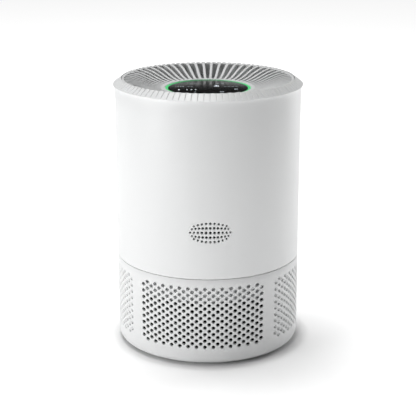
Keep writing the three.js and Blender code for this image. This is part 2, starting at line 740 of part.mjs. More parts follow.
/** The curved mouth that leads the air into the impeller's eye. */
function inletBell() {
  const inR = INLET_R + 0.5;
  return turnedRing([
    [DUCT_IN_R - 2 * FIT, BELL_FOOT],
    [DUCT_IN_R - 2 * FIT, BELL_FOOT + BELL_T],
    [inR + 9, BELL_FOOT + BELL_T],
    [inR + 4.5, BELL_FOOT + BELL_T * 2],
    [inR + BELL_T, BELL_TOP],
    [inR, BELL_TOP],
    [inR + 2, BELL_FOOT + BELL_T * 1.5],
    [inR + 8, BELL_FOOT],
  ], INNER_SIDES);
}

/** The tube round the fan, which widens to the outlet at its top. */
function fanDuct() {
  const bend = DUCT_TOP - DUCT_FLARE_H;
  const topInR = DUCT_TOP_R - WALL;
  const tube = turnedRing([
    [DUCT_R, GUARD_FOOT],
    [DUCT_R, bend],
    [DUCT_TOP_R, DUCT_TOP - 2],
    [DUCT_TOP_R, DUCT_TOP],
    [topInR, DUCT_TOP],
    [topInR, DUCT_TOP - 2],
    [DUCT_IN_R, bend + 1],
    [DUCT_IN_R, GUARD_FOOT],
  ], DUCT_SIDES);
  const screwHole = rodY(SCREW_R + FIT, -DUCT_R - 2, -DUCT_IN_R + 2, ductScrewZ(), 10);
  return cut(tube, ...repeat(screwHole, DUCT_SCREW_COUNT, DUCT_SCREW_TURN), motorLead(LEAD_R + LEAD_CLEAR),
    panelLead(LEAD_R + LEAD_CLEAR));
}

function ductScrewZ() {
  return BRACKET_FOOT + BRACKET_H / 2;
}

/** A screw from outside through the duct into the bracket's rim. */
function ductScrew() {
  const item = screw(DUCT_SCREW_L);
  item.rotateX(-Math.PI / 2); // it points along +Y, to the axis
  item.translate(0, -DUCT_R - FIT, ductScrewZ());
  return item;
}

// ---------------------------------------------------------------- fan

/** A blade, curved back from the impeller's eye to its rim. */
function fanBlade() {
  const inR = INLET_R + 8;
  const outR = FAN_R - 0.5;
  const steps = 4;
  const line = (offset) => Array.from({ length: steps + 1 }, (_, k) => {
    const share = k / steps;
    const r = inR + (outR - inR) * share;
    const turn = -FAN_BLADE_SWEEP * share * (1.3 - 0.3 * share);
    const p = at(r, turn + (offset / r) * (180 / Math.PI));
    return new THREE.Vector2(p.x, p.y);
  });
  const outline = new THREE.Shape([...line(-FAN_BLADE_T / 2), ...line(FAN_BLADE_T / 2).reverse()]);
  const foot = FAN_FOOT + 10.5;
  const depth = FAN_TOP - FAN_PLATE_T / 2 - foot;
  const blade = new THREE.ExtrudeGeometry(outline, { depth, bevelEnabled: false });
  blade.translate(0, 0, foot);
  return blade;
}

/** The impeller: back plate with hub, blades, and a shroud with its eye over the bell's lip. */
function impeller() {
  const boreR = SHAFT_R + FIT;
  const eyeR = INLET_R + 0.5 + BELL_T + FAN_GAP + 1.5;
  const plate = turnedRing([
    [boreR, HUB_FOOT],
    [HUB_R, HUB_FOOT],
    [HUB_R, FAN_TOP - FAN_PLATE_T],
    [FAN_R, FAN_TOP - FAN_PLATE_T],
    [FAN_R, FAN_TOP],
    [HUB_R, FAN_TOP],
    [HUB_R, HUB_TOP],
    [boreR, HUB_TOP],
  ], INNER_SIDES);
  const shroud = turnedRing([
    [eyeR, FAN_FOOT],
    [eyeR + 2, FAN_FOOT],
    [eyeR + 4.5, FAN_FOOT + 4.5],
    [FAN_R, FAN_FOOT + 11],
    [FAN_R, FAN_FOOT + 13.5],
    [eyeR + 3, FAN_FOOT + 6.5],
    [eyeR, FAN_FOOT + 2],
  ], INNER_SIDES);
  return join(plate, shroud, ...repeat(fanBlade(), FAN_BLADES));
}

function motorShaft() {
  return post(SHAFT_R, HUB_FOOT - SHAFT_TAIL, MOTOR_TOP + 2.5, 12);
}

function impellerNut() {
  return ring(SHAFT_R + FIT, NUT_R, HUB_FOOT - FIT - NUT_H, HUB_FOOT - FIT, 12);
}

// ---------------------------------------------------------------- motor

const CAN_IN_R = MOTOR_R - MOTOR_WALL - 0.6;
const STATOR_R = CAN_IN_R - FIT;
const STATOR_FOOT = MOTOR_FOOT + MOTOR_WALL + 3;

/** The steel can with a round opening for a bearing at each end. */
function motorCan() {
  const holeR = BEARING_R + FIT;
  const can = turnedRing([
    [holeR, MOTOR_FOOT],
    [MOTOR_R, MOTOR_FOOT],
    [MOTOR_R, MOTOR_TOP],
    [holeR, MOTOR_TOP],
    [holeR, MOTOR_TOP - MOTOR_WALL],
    [CAN_IN_R, MOTOR_TOP - MOTOR_WALL],
    [CAN_IN_R, MOTOR_FOOT + MOTOR_WALL],
    [holeR, MOTOR_FOOT + MOTOR_WALL],
  ], INNER_SIDES);
  const screwHole = post(SCREW_R + FIT, MOTOR_FOOT - 1, MOTOR_FOOT + MOTOR_WALL + 1, 10);
  screwHole.translate(0, -MOTOR_SCREW_RING_R, 0);
  return cut(can, ...repeat(screwHole, MOTOR_SCREW_COUNT));
}

function motorStator() {
  return ring(STATOR_R - STATOR_T, STATOR_R, STATOR_FOOT, STATOR_FOOT + STATOR_H, INNER_SIDES);
}

function motorRotor() {
  const outR = STATOR_R - STATOR_T - ROTOR_GAP;
  return ring(SHAFT_R + FIT, outR, STATOR_FOOT + 0.5, STATOR_FOOT + STATOR_H - 0.5, INNER_SIDES);
}

function bearing(foot) {
  return ring(SHAFT_R + FIT, BEARING_R, foot, foot + BEARING_H, 16);
}

/** The bracket: a cup for the motor, vanes that straighten the air, and a rim that the duct holds. */
function motorBracket() {
  const cupR = MOTOR_R + BRACKET_CUP_GAP;
  const rimR = DUCT_IN_R - 2 * FIT;
  const rimInR = rimR - WALL;
  const cup = turnedRing([
    [BEARING_R + 1.5, BRACKET_FOOT],
    [cupR + WALL, BRACKET_FOOT],
    [cupR + WALL, BRACKET_TOP],
    [cupR, BRACKET_TOP],
    [cupR, BRACKET_FOOT + BRACKET_T],
    [BEARING_R + 1.5, BRACKET_FOOT + BRACKET_T],
  ], INNER_SIDES);
  const vane = box([-VANE_T / 2, -rimInR - 1, BRACKET_FOOT + 1], [VANE_T / 2, -cupR - 1, BRACKET_TOP]);
  const whole = join(cup, ring(rimInR, rimR, BRACKET_FOOT, BRACKET_TOP, INNER_SIDES),
    ...repeat(vane, VANE_COUNT, 180 / VANE_COUNT));
  const motorHole = post(SCREW_R + FIT, BRACKET_FOOT - 1, BRACKET_FOOT + BRACKET_T + 1, 10);
  motorHole.translate(0, -MOTOR_SCREW_RING_R, 0);
  const rimHole = rodY(SCREW_R + FIT, -rimR - 2, -rimInR + 3, ductScrewZ(), 10);
  return cut(whole, ...repeat(motorHole, MOTOR_SCREW_COUNT),
    ...repeat(rimHole, DUCT_SCREW_COUNT, DUCT_SCREW_TURN));
}

function motorScrew() {
  const item = screw(MOTOR_SCREW_L);
  item.translate(0, -MOTOR_SCREW_RING_R, BRACKET_FOOT - FIT);
  return item;
}

/** The domed cap over the motor. */
function motorCover() {
  const outR = MOTOR_R + BRACKET_CUP_GAP + WALL;
  const foot = BRACKET_TOP + FIT;
  const round = 14;
  const dome = turned([
    [outR, foot],
    ...corner(outR - round, foot + COVER_H - round, round, 0, 90, 3),
    [0, foot + COVER_H],
  ].reverse().concat([
    [outR - WALL, foot],
    ...corner(outR - round, foot + COVER_H - round, round - WALL, 0, 90, 3),
    [0, foot + COVER_H - WALL],
  ]), INNER_SIDES);
  return cut(dome, motorLead(LEAD_R + LEAD_CLEAR));
}

/** The lead from the power board through the duct to the motor. */
function motorLead(radius = LEAD_R) {
  const end = radius - LEAD_R; // a clearance cut runs past both ends
  return rodY(radius, MOTOR_R + FIT - end, POWER_Y - FIT + end, LEAD_Z, 10);
}

// ---------------------------------------------------------------- head: shells

/** x places and radii of the vent holes: five rows inside an oval. */
function ventHoles() {
  const holes = [];
  VENT_ROWS.forEach((count, row) => {
    const up = (row - (VENT_ROWS.length - 1) / 2) * VENT_PITCH_Z;
    for (let k = 0; k < count; k += 1) {
      const step = k - (count - 1) / 2;
      const x = step * VENT_PITCH_X * (1 - 0.006 * Math.abs(step));
      const reach = Math.min(1, Math.hypot(x / VENT_HALF_W, up / VENT_HALF_H / 1.25));
      const bow = Math.abs(up) > 1.5 * VENT_PITCH_Z ? 0.18 * Math.abs(x / VENT_PITCH_X) ** 2 : 0;
      const z = VENT_Z + Math.sign(up) * (Math.abs(up) - bow);
      holes.push({ x, z, r: VENT_HOLE_R + (VENT_EDGE_HOLE_R - VENT_HOLE_R) * reach ** 2 });
    }
  });
  return holes;
}

/** The white outer shell with its vent holes, the plug recess and four screw bosses. */
function bodyShell() {
  const tube = ring(SHELL_IN_R, SHELL_R, BODY_FOOT, BODY_TOP);
  const foot = DECK_TOP + FIT;
  const column = post(BOSS_R, foot, foot + BOSS_H, 12);
  column.translate(0, -DECK_SCREW_RING_R, 0);
  const web = box([-1.5, -SHELL_IN_R - 1, foot], [1.5, -DECK_SCREW_RING_R, foot + BOSS_H]);
  const hole = post(SCREW_R + FIT, foot - 1, foot + DECK_SCREW_L, 10);
  hole.translate(0, -DECK_SCREW_RING_R, 0);
  const whole = join(tube, ...repeat(column, DECK_SCREW_COUNT, DECK_SCREW_TURN),
    ...repeat(web, DECK_SCREW_COUNT, DECK_SCREW_TURN));
  const vents = ventHoles().map(({ x, z, r }) => {
    const turn = THREE.MathUtils.radToDeg(Math.asin(x / SHELL_R));
    return spun(rodY(r, -SHELL_R - 2, -SHELL_IN_R + 2, z, 6), turn);
  });
  const recess = rodY(JACK_RECESS_R, SHELL_IN_R - 3, SHELL_R + 2, JACK_Z, 20);
  return cut(whole, ...repeat(hole, DECK_SCREW_COUNT, DECK_SCREW_TURN), ...vents, recess);
}

/** The bevelled ring at the top, with a spigot inside the body shell. */
function crownRing() {
  return turnedRing([
    [CROWN_IN_R, CROWN_FOOT - CROWN_SPIGOT_H],
    [SHELL_IN_R - FIT, CROWN_FOOT - CROWN_SPIGOT_H],
    [SHELL_IN_R - FIT, CROWN_FOOT],
    [CROWN_R, CROWN_FOOT],
    [CROWN_R, CROWN_FOOT + CROWN_EDGE_H],
    [CROWN_IN_R, CROWN_TOP],
  ]);
}

/** Height of a rib's top edge at radius r: flat by the centre ring, then a smooth climb to the rim. */
function dishHeight(r) {
  const share = THREE.MathUtils.smoothstep(r, DISH_FLAT_R, DISH_CURVE_R);
  const rim = THREE.MathUtils.smoothstep(r, DISH_CURVE_R - 5, GRILLE_R);
  return DISH_FLAT + (DISH_DEPTH - DISH_RIM_DROP) * share + (DISH_RIM_DROP / 2) * rim;
}

/** The dished outlet: a rim, radial ribs and the ring round the touch panel, in one moulding. */
function outletGrille() {
  const rimTop = dishHeight(GRILLE_R);
  const facetTurn = RIB_TURN - 180 / RIB_COUNT; // each rib meets the middle of a facet
  const rim = spun(ring(GRILLE_R - GRILLE_RIM_WALL, GRILLE_R, GRILLE_FOOT, rimTop, RIB_COUNT), facetTurn);
  const centre = spun(ring(CENTRE_RING_R, DISH_FLAT_R, CENTRE_RING_FOOT, DISH_FLAT, RIB_COUNT), facetTurn);
  const innerR = DISH_FLAT_R - 1.5;
  const outerR = GRILLE_R - GRILLE_RIM_WALL / 2;
  const steps = 3;
  const radii = Array.from({ length: steps + 1 }, (_, k) => innerR + ((outerR - innerR) * k) / steps);
  const sunk = 0.15; // the ribs' ends lie just below the tops of the rings
  const top = radii.map((r) => [r, dishHeight(r) - sunk]);
  const bottom = radii.map((r) => [r, dishHeight(r) - RIB_DEPTH]).reverse();
  const rib = radialPlate([...top, ...bottom], RIB_T);
  const hole = post(SCREW_R + FIT, CENTRE_RING_FOOT - 1, CENTRE_RING_FOOT + TRAY_SCREW_L - 1, 8);
  hole.translate(0, -trayScrewR(), 0);
  return cut(join(rim, centre, ...repeat(rib, RIB_COUNT, RIB_TURN)), ...repeat(hole, TRAY_SCREW_COUNT));
}

// ---------------------------------------------------------------- head: touch panel

function trayScrewR() {
  return (CENTRE_RING_R + DISH_FLAT_R) / 2;
}

function lightRing() {
  return ring(LIGHT_R - LIGHT_W, LIGHT_R, LIGHT_FOOT, PANEL_TOP, INNER_SIDES);
}

function displayLens() {
  const edge = 0.4;
  return turned([
    [0, LENS_FOOT],
    [LENS_R, LENS_FOOT],
    [LENS_R, PANEL_TOP - edge],
    [LENS_R - edge, PANEL_TOP],
    [0, PANEL_TOP],
  ], INNER_SIDES);
}

/** The cup below the dish's middle that holds the board, the light ring and the lens. */
function panelTray() {
  const stepR = LENS_R;
  const flangeTop = CENTRE_RING_FOOT - FIT;
  const cupR = trayScrewR() - SCREW_HEAD_R - FIT;
  const cup = turned([
    [0, TRAY_FOOT],
    [cupR, TRAY_FOOT],
    [cupR, flangeTop - TRAY_FLANGE_T],
    [DISH_FLAT_R - FIT, flangeTop - TRAY_FLANGE_T],
    [DISH_FLAT_R - FIT, flangeTop],
    [LIGHT_R, flangeTop],
    [LIGHT_R, LIGHT_FOOT - FIT],
    [stepR, LIGHT_FOOT - FIT],
    [stepR, TRAY_TOP],
    [stepR - TRAY_WALL, TRAY_TOP],
    [stepR - TRAY_WALL, TRAY_FOOT + TRAY_T],
    [0, TRAY_FOOT + TRAY_T],
  ], INNER_SIDES);
  const peg = post(3, TRAY_FOOT + TRAY_T - 0.5, BOARD_FOOT - FIT, 10);
  peg.translate(0, -BOARD_R + 6, 0);
  const hole = post(SCREW_R + FIT, flangeTop - TRAY_FLANGE_T - 1, flangeTop + 1, 8);
  hole.translate(0, -trayScrewR(), 0);
  return cut(join(cup, ...repeat(peg, 3)), ...repeat(hole, TRAY_SCREW_COUNT),
    panelLead(LEAD_R + LEAD_CLEAR));
}

function trayScrew() {
  const item = screw(TRAY_SCREW_L);
  item.translate(0, -trayScrewR(), CENTRE_RING_FOOT - 2 * FIT - TRAY_FLANGE_T);
  return item;
}

/** The round board with the display block on it. */
function controlBoard() {
  const top = BOARD_FOOT + BOARD_T;
  const display = box([-16, -6, top - 0.5], [16, 8, LENS_FOOT - 1]);
  const chip = box([-22, -20, BOARD_FOOT - 2], [-12, -10, BOARD_FOOT + 0.5]);
  return join(post(BOARD_R, BOARD_FOOT, top, INNER_SIDES), display, chip);
}

/** The lead from the power board up beside the duct, through it and into the tray. */
function panelLead(radius = LEAD_R) {
  const side = 12;
  const inTray = BOARD_FOOT - FIT - 0.5;
  const outY = DUCT_R + 5.5;
  return lead([
    [side, POWER_Y + BOARD_T / 2, POWER_TOP + 2 * FIT],
    [side, outY, (POWER_TOP + TRAY_FOOT) / 2 - 4],
    [side, DUCT_R + 1, TRAY_FOOT - 13],
    [side, DUCT_R - 12, TRAY_FOOT - 8],
    [side, BOARD_R + 8, TRAY_FOOT - 6],
    [side, BOARD_R - 4, TRAY_FOOT - 1],
    [side, BOARD_R - 8, inTray],
  ], radius);
}

// ---------------------------------------------------------------- head: electronics

/** The power board, upright behind the duct, with its tall parts on the outer side. */
function powerBoard() {
  const half = POWER_W / 2;
  const outer = POWER_Y + BOARD_T;
  return join(
    box([-half, POWER_Y, POWER_FOOT], [half, outer, POWER_TOP]),
    box([-12, outer - 0.5, POWER_FOOT + 8], [8, outer + 6, POWER_FOOT + 26]),
    box([14, outer - 0.5, POWER_FOOT + 12], [24, outer + 3.5, POWER_FOOT + 24]),
    box([-24, outer - 0.5, POWER_FOOT + 34], [-8, outer + 3, POWER_FOOT + 46]),
  );
}

/** The power jack: a block with a round socket and centre pin, and a collar out to the shell. */
function dcJack() {
  const half = JACK_W / 2;
  const back = JACK_FACE - JACK_D;
  const block = box([-half, back, JACK_Z - JACK_H / 2], [half, JACK_FACE, JACK_Z + JACK_H / 2]);
  const collarR = JACK_RECESS_R + JACK_COLLAR_WALL;
  const reach = Math.sqrt((SHELL_IN_R - 2 * FIT) ** 2 - collarR ** 2);
  const collar = cut(rodY(collarR, JACK_FACE - 0.5, reach, JACK_Z, 20),
    rodY(JACK_RECESS_R, JACK_FACE - 1, reach + 1, JACK_Z, 20));
  const socket = rodY(JACK_SOCKET_R, back + 2, JACK_FACE + 1, JACK_Z, 12);
  const pin = rodY(JACK_PIN_R, back + 1.5, JACK_FACE - 1, JACK_Z, 8);
  return join(cut(join(block, collar), socket), pin);
}

// The gasket's corners just reach the shell's inner face.
const GASKET_FACE = Math.sqrt((flatR(SHELL_IN_R, SIDES) - FIT) ** 2 - (SENSOR_W / 2) ** 2);
const SENSOR_FACE = GASKET_FACE - GASKET_T - FIT;
const SENSOR_BACK = DUCT_R + 1;

/** The air-quality sensor, a block with an open chamber that faces the vent. */
function airSensor() {
  const half = SENSOR_W / 2;
  const low = VENT_Z - SENSOR_H / 2;
  const high = VENT_Z + SENSOR_H / 2;
  return cut(
    box([-half, -SENSOR_FACE, low], [half, -SENSOR_BACK, high]),
    box([-half + SENSOR_WALL, -SENSOR_FACE - 1, low + SENSOR_WALL],
      [half - SENSOR_WALL, -(SENSOR_FACE + SENSOR_BACK) / 2, high - SENSOR_WALL]),
  );
}

/** A foam frame between the sensor and the shell. */
function sensorGasket() {
  const half = SENSOR_W / 2;
  const low = VENT_Z - SENSOR_H / 2;
  const high = VENT_Z + SENSOR_H / 2;
  const inset = SENSOR_WALL - 0.5;
  const back = -SENSOR_FACE - FIT;
  return cut(
    box([-half, -GASKET_FACE, low], [half, back, high]),
    box([-half + inset, -GASKET_FACE - 1, low + inset], [half - inset, back + 1, high - inset]),
  );
}

// ---------------------------------------------------------------- assembly

const purifier = new THREE.Group();
const base = new THREE.Group();
const filter = new THREE.Group();
const head = new THREE.Group();
const fan = new THREE.Group();
purifier.add(base, filter, head);
head.add(fan);

base.add(
  piece("base_shell", baseShell(), finish.shell),
  ...piecesRound("foot_pad", footPad, finish.rubber, FOOT_COUNT, FOOT_TURN),
);

filter.add(
  piece("filter_bottom_cap", filterBottomCap(), finish.darkPlastic),
  piece("filter_media", filterMedia(), finish.media),
  piece("carbon_layer", carbonLayer(), finish.carbon),
  piece("prefilter_mesh", prefilterMesh(), finish.mesh),
  piece("filter_top_cap", filterTopCap(), finish.darkPlastic),
  piece("pull_tab", pullTab(), finish.fabricTab),
  piece("seal_ring", sealRing(), finish.foam),
);

const plunger = piece("interlock_plunger", interlockPlunger(), finish.darkPlastic);
const switchBlock = piece("interlock_switch", interlockSwitch(), finish.darkPlastic);
plunger.rotation.z = rad(POST_TURN);
switchBlock.rotation.z = rad(POST_TURN);

head.add(
  piece("fan_deck", fanDeck(), finish.innerWhite),
  ...piecesRound("lock_catch", lockCatch, finish.innerWhite, LOCK_COUNT, LOCK_TURN),
  ...piecesRound("deck_screw", deckScrew, finish.zinc, DECK_SCREW_COUNT, DECK_SCREW_TURN),
  switchBlock,
  plunger,
  piece("inlet_guard", inletGuard(), finish.innerWhite),
  piece("inlet_bell", inletBell(), finish.innerWhite),
  piece("fan_duct", fanDuct(), finish.innerWhite),
  piece("motor_bracket", motorBracket(), finish.innerWhite),
  ...piecesRound("duct_screw", ductScrew, finish.zinc, DUCT_SCREW_COUNT, DUCT_SCREW_TURN),
  piece("motor_can", motorCan(), finish.steel),
  piece("motor_stator", motorStator(), finish.winding),
  piece("bearing_lower", bearing(MOTOR_FOOT - 1), finish.steel),
  piece("bearing_upper", bearing(MOTOR_TOP - BEARING_H + 1.5), finish.steel),
  ...piecesRound("motor_screw", motorScrew, finish.zinc, MOTOR_SCREW_COUNT, 0),
  piece("motor_cover", motorCover(), finish.innerWhite),
  piece("motor_lead", motorLead(), finish.lead),
  piece("body_shell", bodyShell(), finish.shell),
  piece("crown_ring", crownRing(), finish.shell),
  piece("outlet_grille", outletGrille(), finish.shell),
  piece("light_ring", lightRing(), finish.light),
  piece("display_lens", displayLens(), finish.lens),
  piece("panel_tray", panelTray(), finish.innerWhite),
  ...piecesRound("tray_screw", trayScrew, finish.zinc, TRAY_SCREW_COUNT, 0),
  piece("control_board", controlBoard(), finish.board),
  piece("panel_lead", panelLead(), finish.lead),
  piece("power_board", powerBoard(), finish.board),
  piece("dc_jack", dcJack(), finish.darkPlastic),
  piece("air_sensor", airSensor(), finish.darkPlastic),
  piece("sensor_gasket", sensorGasket(), finish.foam),
);

fan.add(
  piece("impeller", impeller(), finish.darkPlastic),
  piece("impeller_nut", impellerNut(), finish.zinc),
  piece("motor_shaft", motorShaft(), finish.steel),
  piece("motor_rotor", motorRotor(), finish.magnet),
);

export default purifier;
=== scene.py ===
"""A round table-top air purifier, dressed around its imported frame.

Lengths in the classes are millimetres, and MM turns them to metres. Angles named "turn" are degrees about Z
from the front (-Y) towards +X.
"""

import logging
import math
from collections.abc import Callable, Iterator
from contextlib import contextmanager
from dataclasses import dataclass, field
from enum import Enum
from typing import Any

import bmesh
import bpy
from mathutils import Matrix, Vector


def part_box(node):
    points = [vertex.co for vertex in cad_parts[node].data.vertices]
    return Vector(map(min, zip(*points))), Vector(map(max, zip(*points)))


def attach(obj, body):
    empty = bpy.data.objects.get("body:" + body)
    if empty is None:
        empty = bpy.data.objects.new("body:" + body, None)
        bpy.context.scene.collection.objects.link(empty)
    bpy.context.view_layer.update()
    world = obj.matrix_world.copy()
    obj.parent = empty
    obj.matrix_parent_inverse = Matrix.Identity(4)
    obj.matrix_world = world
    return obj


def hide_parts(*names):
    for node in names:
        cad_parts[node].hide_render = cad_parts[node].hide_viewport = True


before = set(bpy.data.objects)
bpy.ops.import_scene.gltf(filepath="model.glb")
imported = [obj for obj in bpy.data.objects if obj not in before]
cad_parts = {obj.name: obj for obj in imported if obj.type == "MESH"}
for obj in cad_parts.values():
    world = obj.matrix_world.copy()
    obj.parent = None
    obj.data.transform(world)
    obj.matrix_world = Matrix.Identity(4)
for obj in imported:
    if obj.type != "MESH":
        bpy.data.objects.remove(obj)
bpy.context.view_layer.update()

MM = 0.001
MERGE = 2e-6  # metres: points closer than this are one point
STRAIGHT = math.radians(12)  # a corner that turns by less stays as it is
ROUND_SHARE = 0.45  # a round takes at most this share of a side
ROUND_SAG = 0.3  # how far in the middle of a round lies, as a share of its reach
FLAT = math.radians(0.5)  # faces that differ by less are one face
WALL = 2.5  # thickness of a moulded wall
CLEAR = 0.3  # clearance between two pieces
INLET_R = 46  # the hole that the fan draws air through
SCREW_HOLE_R = 1.8  # a hole for a 3 mm screw
LEAD_HOLE_R = 2.4  # a hole for a lead
LOG = logging.getLogger("air_purifier")

Point = tuple[float, float]
Profile = list[Point]
Place = tuple[float, float, float]
Colour = tuple[float, float, float, float]


# ---------------------------------------------------------------- places from the frame


@dataclass(frozen=True)
class Span:
    """The room of one CAD node, in millimetres.

    Args:
        low: its lowest corner.
        high: its highest corner.
    """

    low: Vector
    high: Vector

    @property
    def radius(self) -> float:
        """Reach from the Z axis along X, which is the outside radius of a turned piece."""
        return self.high.x

    @property
    def foot(self) -> float:
        """Lowest height."""
        return self.low.z

    @property
    def top(self) -> float:
        """Highest height."""
        return self.high.z

    @property
    def middle(self) -> Vector:
        """The middle of the room."""
        return (self.low + self.high) / 2

    @property
    def stand(self) -> Vector:
        """The point at height 0 below the middle."""
        return Vector((self.middle.x, self.middle.y, 0))

    def band(self, inner: float) -> Profile:
        """The section of a ring that fills the room from an inner radius."""
        return band(inner, self.radius, self.foot, self.top)


def span(node: str) -> Span:
    """Reads the room that a CAD node takes.

    Args:
        node: the CAD node's name.

    Returns:
        Its room in millimetres.
    """
    low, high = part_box(node)
    return Span(low / MM, high / MM)


def around(r: float, turn: float, z: float = 0.0) -> Vector:
    """A point at a radius and a turn from the front.

    Args:
        r: radius.
        turn: degrees from the front.
        z: height.

    Returns:
        The point, in the unit of r and z.
    """
    a = math.radians(turn)
    return Vector((r * math.sin(a), -r * math.cos(a), z))


def band(inner: float, outer: float, foot: float, top: float) -> Profile:
    """The four corners of a plain ring's section, or of a disc's when inner is 0."""
    return [(inner, foot), (outer, foot), (outer, top), (inner, top)]


def arc(r: float, z: float, radius: float, start: float, end: float, steps: int = 5) -> Profile:
    """Points of a round corner about a centre.

    Args:
        r: the centre's radius.
        z: the centre's height.
        radius: the corner's own radius.
        start: its first angle, in degrees.
        end: its last angle.
        steps: spans between them.

    Returns:
        The points.
    """
    turns = (math.radians(start + (end - start) * k / steps) for k in range(steps + 1))
    return [(r + radius * math.cos(a), z + radius * math.sin(a)) for a in turns]


def smoothstep(low: float, high: float, x: float) -> float:
    """A smooth climb from 0 at low to 1 at high.

    Args:
        low: where the climb starts.
        high: where it ends.
        x: the place asked for.

    Returns:
        A share from 0 to 1.
    """
    t = min(1.0, max(0.0, (x - low) / (high - low)))
    return t * t * (3 - 2 * t)


def soften(points: Profile, radius: float, steps: int = 3) -> Profile:
    """Rounds the corners of a closed outline, as a mould does. Corners on the axis stay.

    Args:
        points: the outline.
        radius: how far from each corner the round starts.
        steps: spans in each round.

    Returns:
        The rounded outline.
    """
    result: Profile = []
    for k, corner in enumerate(points):
        p = Vector(corner)
        before, after = Vector(points[k - 1]), Vector(points[(k + 1) % len(points)])
        into, out = p - before, after - p
        straight = into.length > 0 and out.length > 0 and into.angle(out) < STRAIGHT
        if corner[0] <= 0 or straight:
            result.append(corner)
            continue
        reach = min(radius, into.length * ROUND_SHARE, out.length * ROUND_SHARE)
        start, end = p - into.normalized() * reach, p + out.normalized() * reach
        for step in range(steps + 1):
            t = step / steps
            result.append(tuple(start * (1 - t) ** 2 + p * 2 * t * (1 - t) + end * t * t))
    return result


# ---------------------------------------------------------------- modelling


def activate(*pieces: bpy.types.Object) -> None:
    """Selects only these pieces and makes the first one active."""
    bpy.ops.object.select_all(action="DESELECT")
    for piece in pieces:
        piece.select_set(True)
    bpy.context.view_layer.objects.active = pieces[0]


@contextmanager
def editing(piece: bpy.types.Object, kind: str = "VERT") -> Iterator[None]:
    """Edit mode on one piece with everything selected.

    Args:
        piece: the mesh to edit.
        kind: the select mode, VERT, EDGE or FACE.

    Yields:
        Nothing; edit mode ends after the block.
    """
    activate(piece)
    bpy.ops.object.mode_set(mode="EDIT")
    bpy.ops.mesh.select_mode(type=kind)
    bpy.ops.mesh.select_all(action="SELECT")
    try:
        yield
    finally:
        bpy.ops.object.mode_set(mode="OBJECT")


def select_edges(piece: bpy.types.Object, test: Callable[[bmesh.types.BMEdge], bool]) -> None:
    """Selects, in edit mode, only the edges that pass a test.

    Args:
        piece: the mesh in edit mode.
        test: tells whether an edge is wanted.
    """
    bpy.ops.mesh.select_mode(type="EDGE")
    bpy.ops.mesh.select_all(action="DESELECT")
    shape = bmesh.from_edit_mesh(piece.data)
    for edge in shape.edges:
        if test(edge):
            edge.select_set(True)
    shape.select_flush_mode()
    bmesh.update_edit_mesh(piece.data)


def move_points(piece: bpy.types.Object, move: Callable[[Vector], Vector]) -> None:
    """Moves every vertex of a finished mesh by a formula.

    Args:
        piece: the mesh.
        move: gives a vertex's new place from its old one, in millimetres.
    """
    for vertex in piece.data.vertices:
        vertex.co = move(vertex.co / MM) * MM
    piece.data.update()


def tidy(piece: bpy.types.Object) -> None:
    """Merges doubles, drops loose points and edges, and turns all faces outwards."""
    with editing(piece):
        bpy.ops.mesh.remove_doubles(threshold=MERGE)
        bpy.ops.mesh.delete_loose(use_verts=True, use_edges=True, use_faces=False)
        bpy.ops.mesh.select_all(action="SELECT")
        bpy.ops.mesh.normals_make_consistent(inside=False)


def smooth(piece: bpy.types.Object, angle: float = 34) -> bpy.types.Object:
    """Shades a piece smooth, with its edges past an angle kept crisp.

    Args:
        piece: the piece.
        angle: degrees.

    Returns:
        The piece.
    """
    activate(piece)
    bpy.ops.object.shade_smooth_by_angle(angle=math.radians(angle))
    return piece


def apply(piece: bpy.types.Object, kind: str, **settings: Any) -> None:
    """Adds a modifier and applies it.

    Args:
        piece: the piece.
        kind: the modifier's type.
        settings: its settings.
    """
    activate(piece)
    modifier = piece.modifiers.new(kind.lower(), kind)
    for key, value in settings.items():
        setattr(modifier, key, value)
    bpy.ops.object.modifier_apply(modifier=modifier.name)


def bevel(piece: bpy.types.Object, width: float, segments: int = 2, angle: float = 40) -> None:
    """Rounds the edges that turn by more than an angle.

    Args:
        piece: the piece.
        width: width of the round.
        segments: spans across it.
        angle: degrees.
    """
    apply(
        piece,
        "BEVEL",
        width=width * MM,
        segments=segments,
        limit_method="ANGLE",
        angle_limit=math.radians(angle),
        use_clamp_overlap=True,
    )


def joined(name: str, *pieces: bpy.types.Object) -> bpy.types.Object:
    """Joins pieces into one object.

    Args:
        name: the joined piece's name.
        pieces: the pieces.

    Returns:
        The joined piece.
    """
    activate(*pieces)
    if len(pieces) > 1:
        bpy.ops.object.join()
    pieces[0].name = name
    return pieces[0]


def twin(piece: bpy.types.Object, place: Matrix) -> bpy.types.Object:
    """Copies a piece with a mesh of its own.

    Args:
        piece: the piece to copy.
        place: where the copy's mesh goes, in metres.

    Returns:
        The copy.
    """
    copy = piece.copy()
    copy.data = piece.data.copy()
    bpy.context.scene.collection.objects.link(copy)
    copy.data.transform(place)
    return copy


def turned_by(turn: float) -> Matrix:
    """A turn about Z, in degrees."""
    return Matrix.Rotation(math.radians(turn), 4, "Z")


def moved(piece: bpy.types.Object, way: Vector) -> bpy.types.Object:
    """Moves a piece's mesh, by millimetres."""
    piece.data.transform(Matrix.Translation(way * MM))
    return piece


def repeated(piece: bpy.types.Object, count: int, first_turn: float = 0) -> list[bpy.types.Object]:
    """Copies a piece round Z and removes the first one.

    Args:
        piece: the piece, modelled at the front.
        count: how many there are.
        first_turn: where the first one lies.

    Returns:
        The copies.
    """
    copies = [twin(piece, turned_by(first_turn + 360 / count * k)) for k in range(count)]
    bpy.data.objects.remove(piece)
    return copies


def outline(name: str, points: list[Vector]) -> bpy.types.Object:
    """A closed ring of edges through points.

    Args:
        name: the piece's name.
        points: the points, in millimetres.

    Returns:
        The ring.
    """
    bpy.ops.object.select_all(action="DESELECT")
    bpy.ops.mesh.primitive_circle_add(vertices=len(points), radius=MM, location=(0, 0, 0))
    ring = bpy.context.object
    ring.name = name
    for vertex, point in zip(ring.data.vertices, points):
        vertex.co = point * MM
    return ring


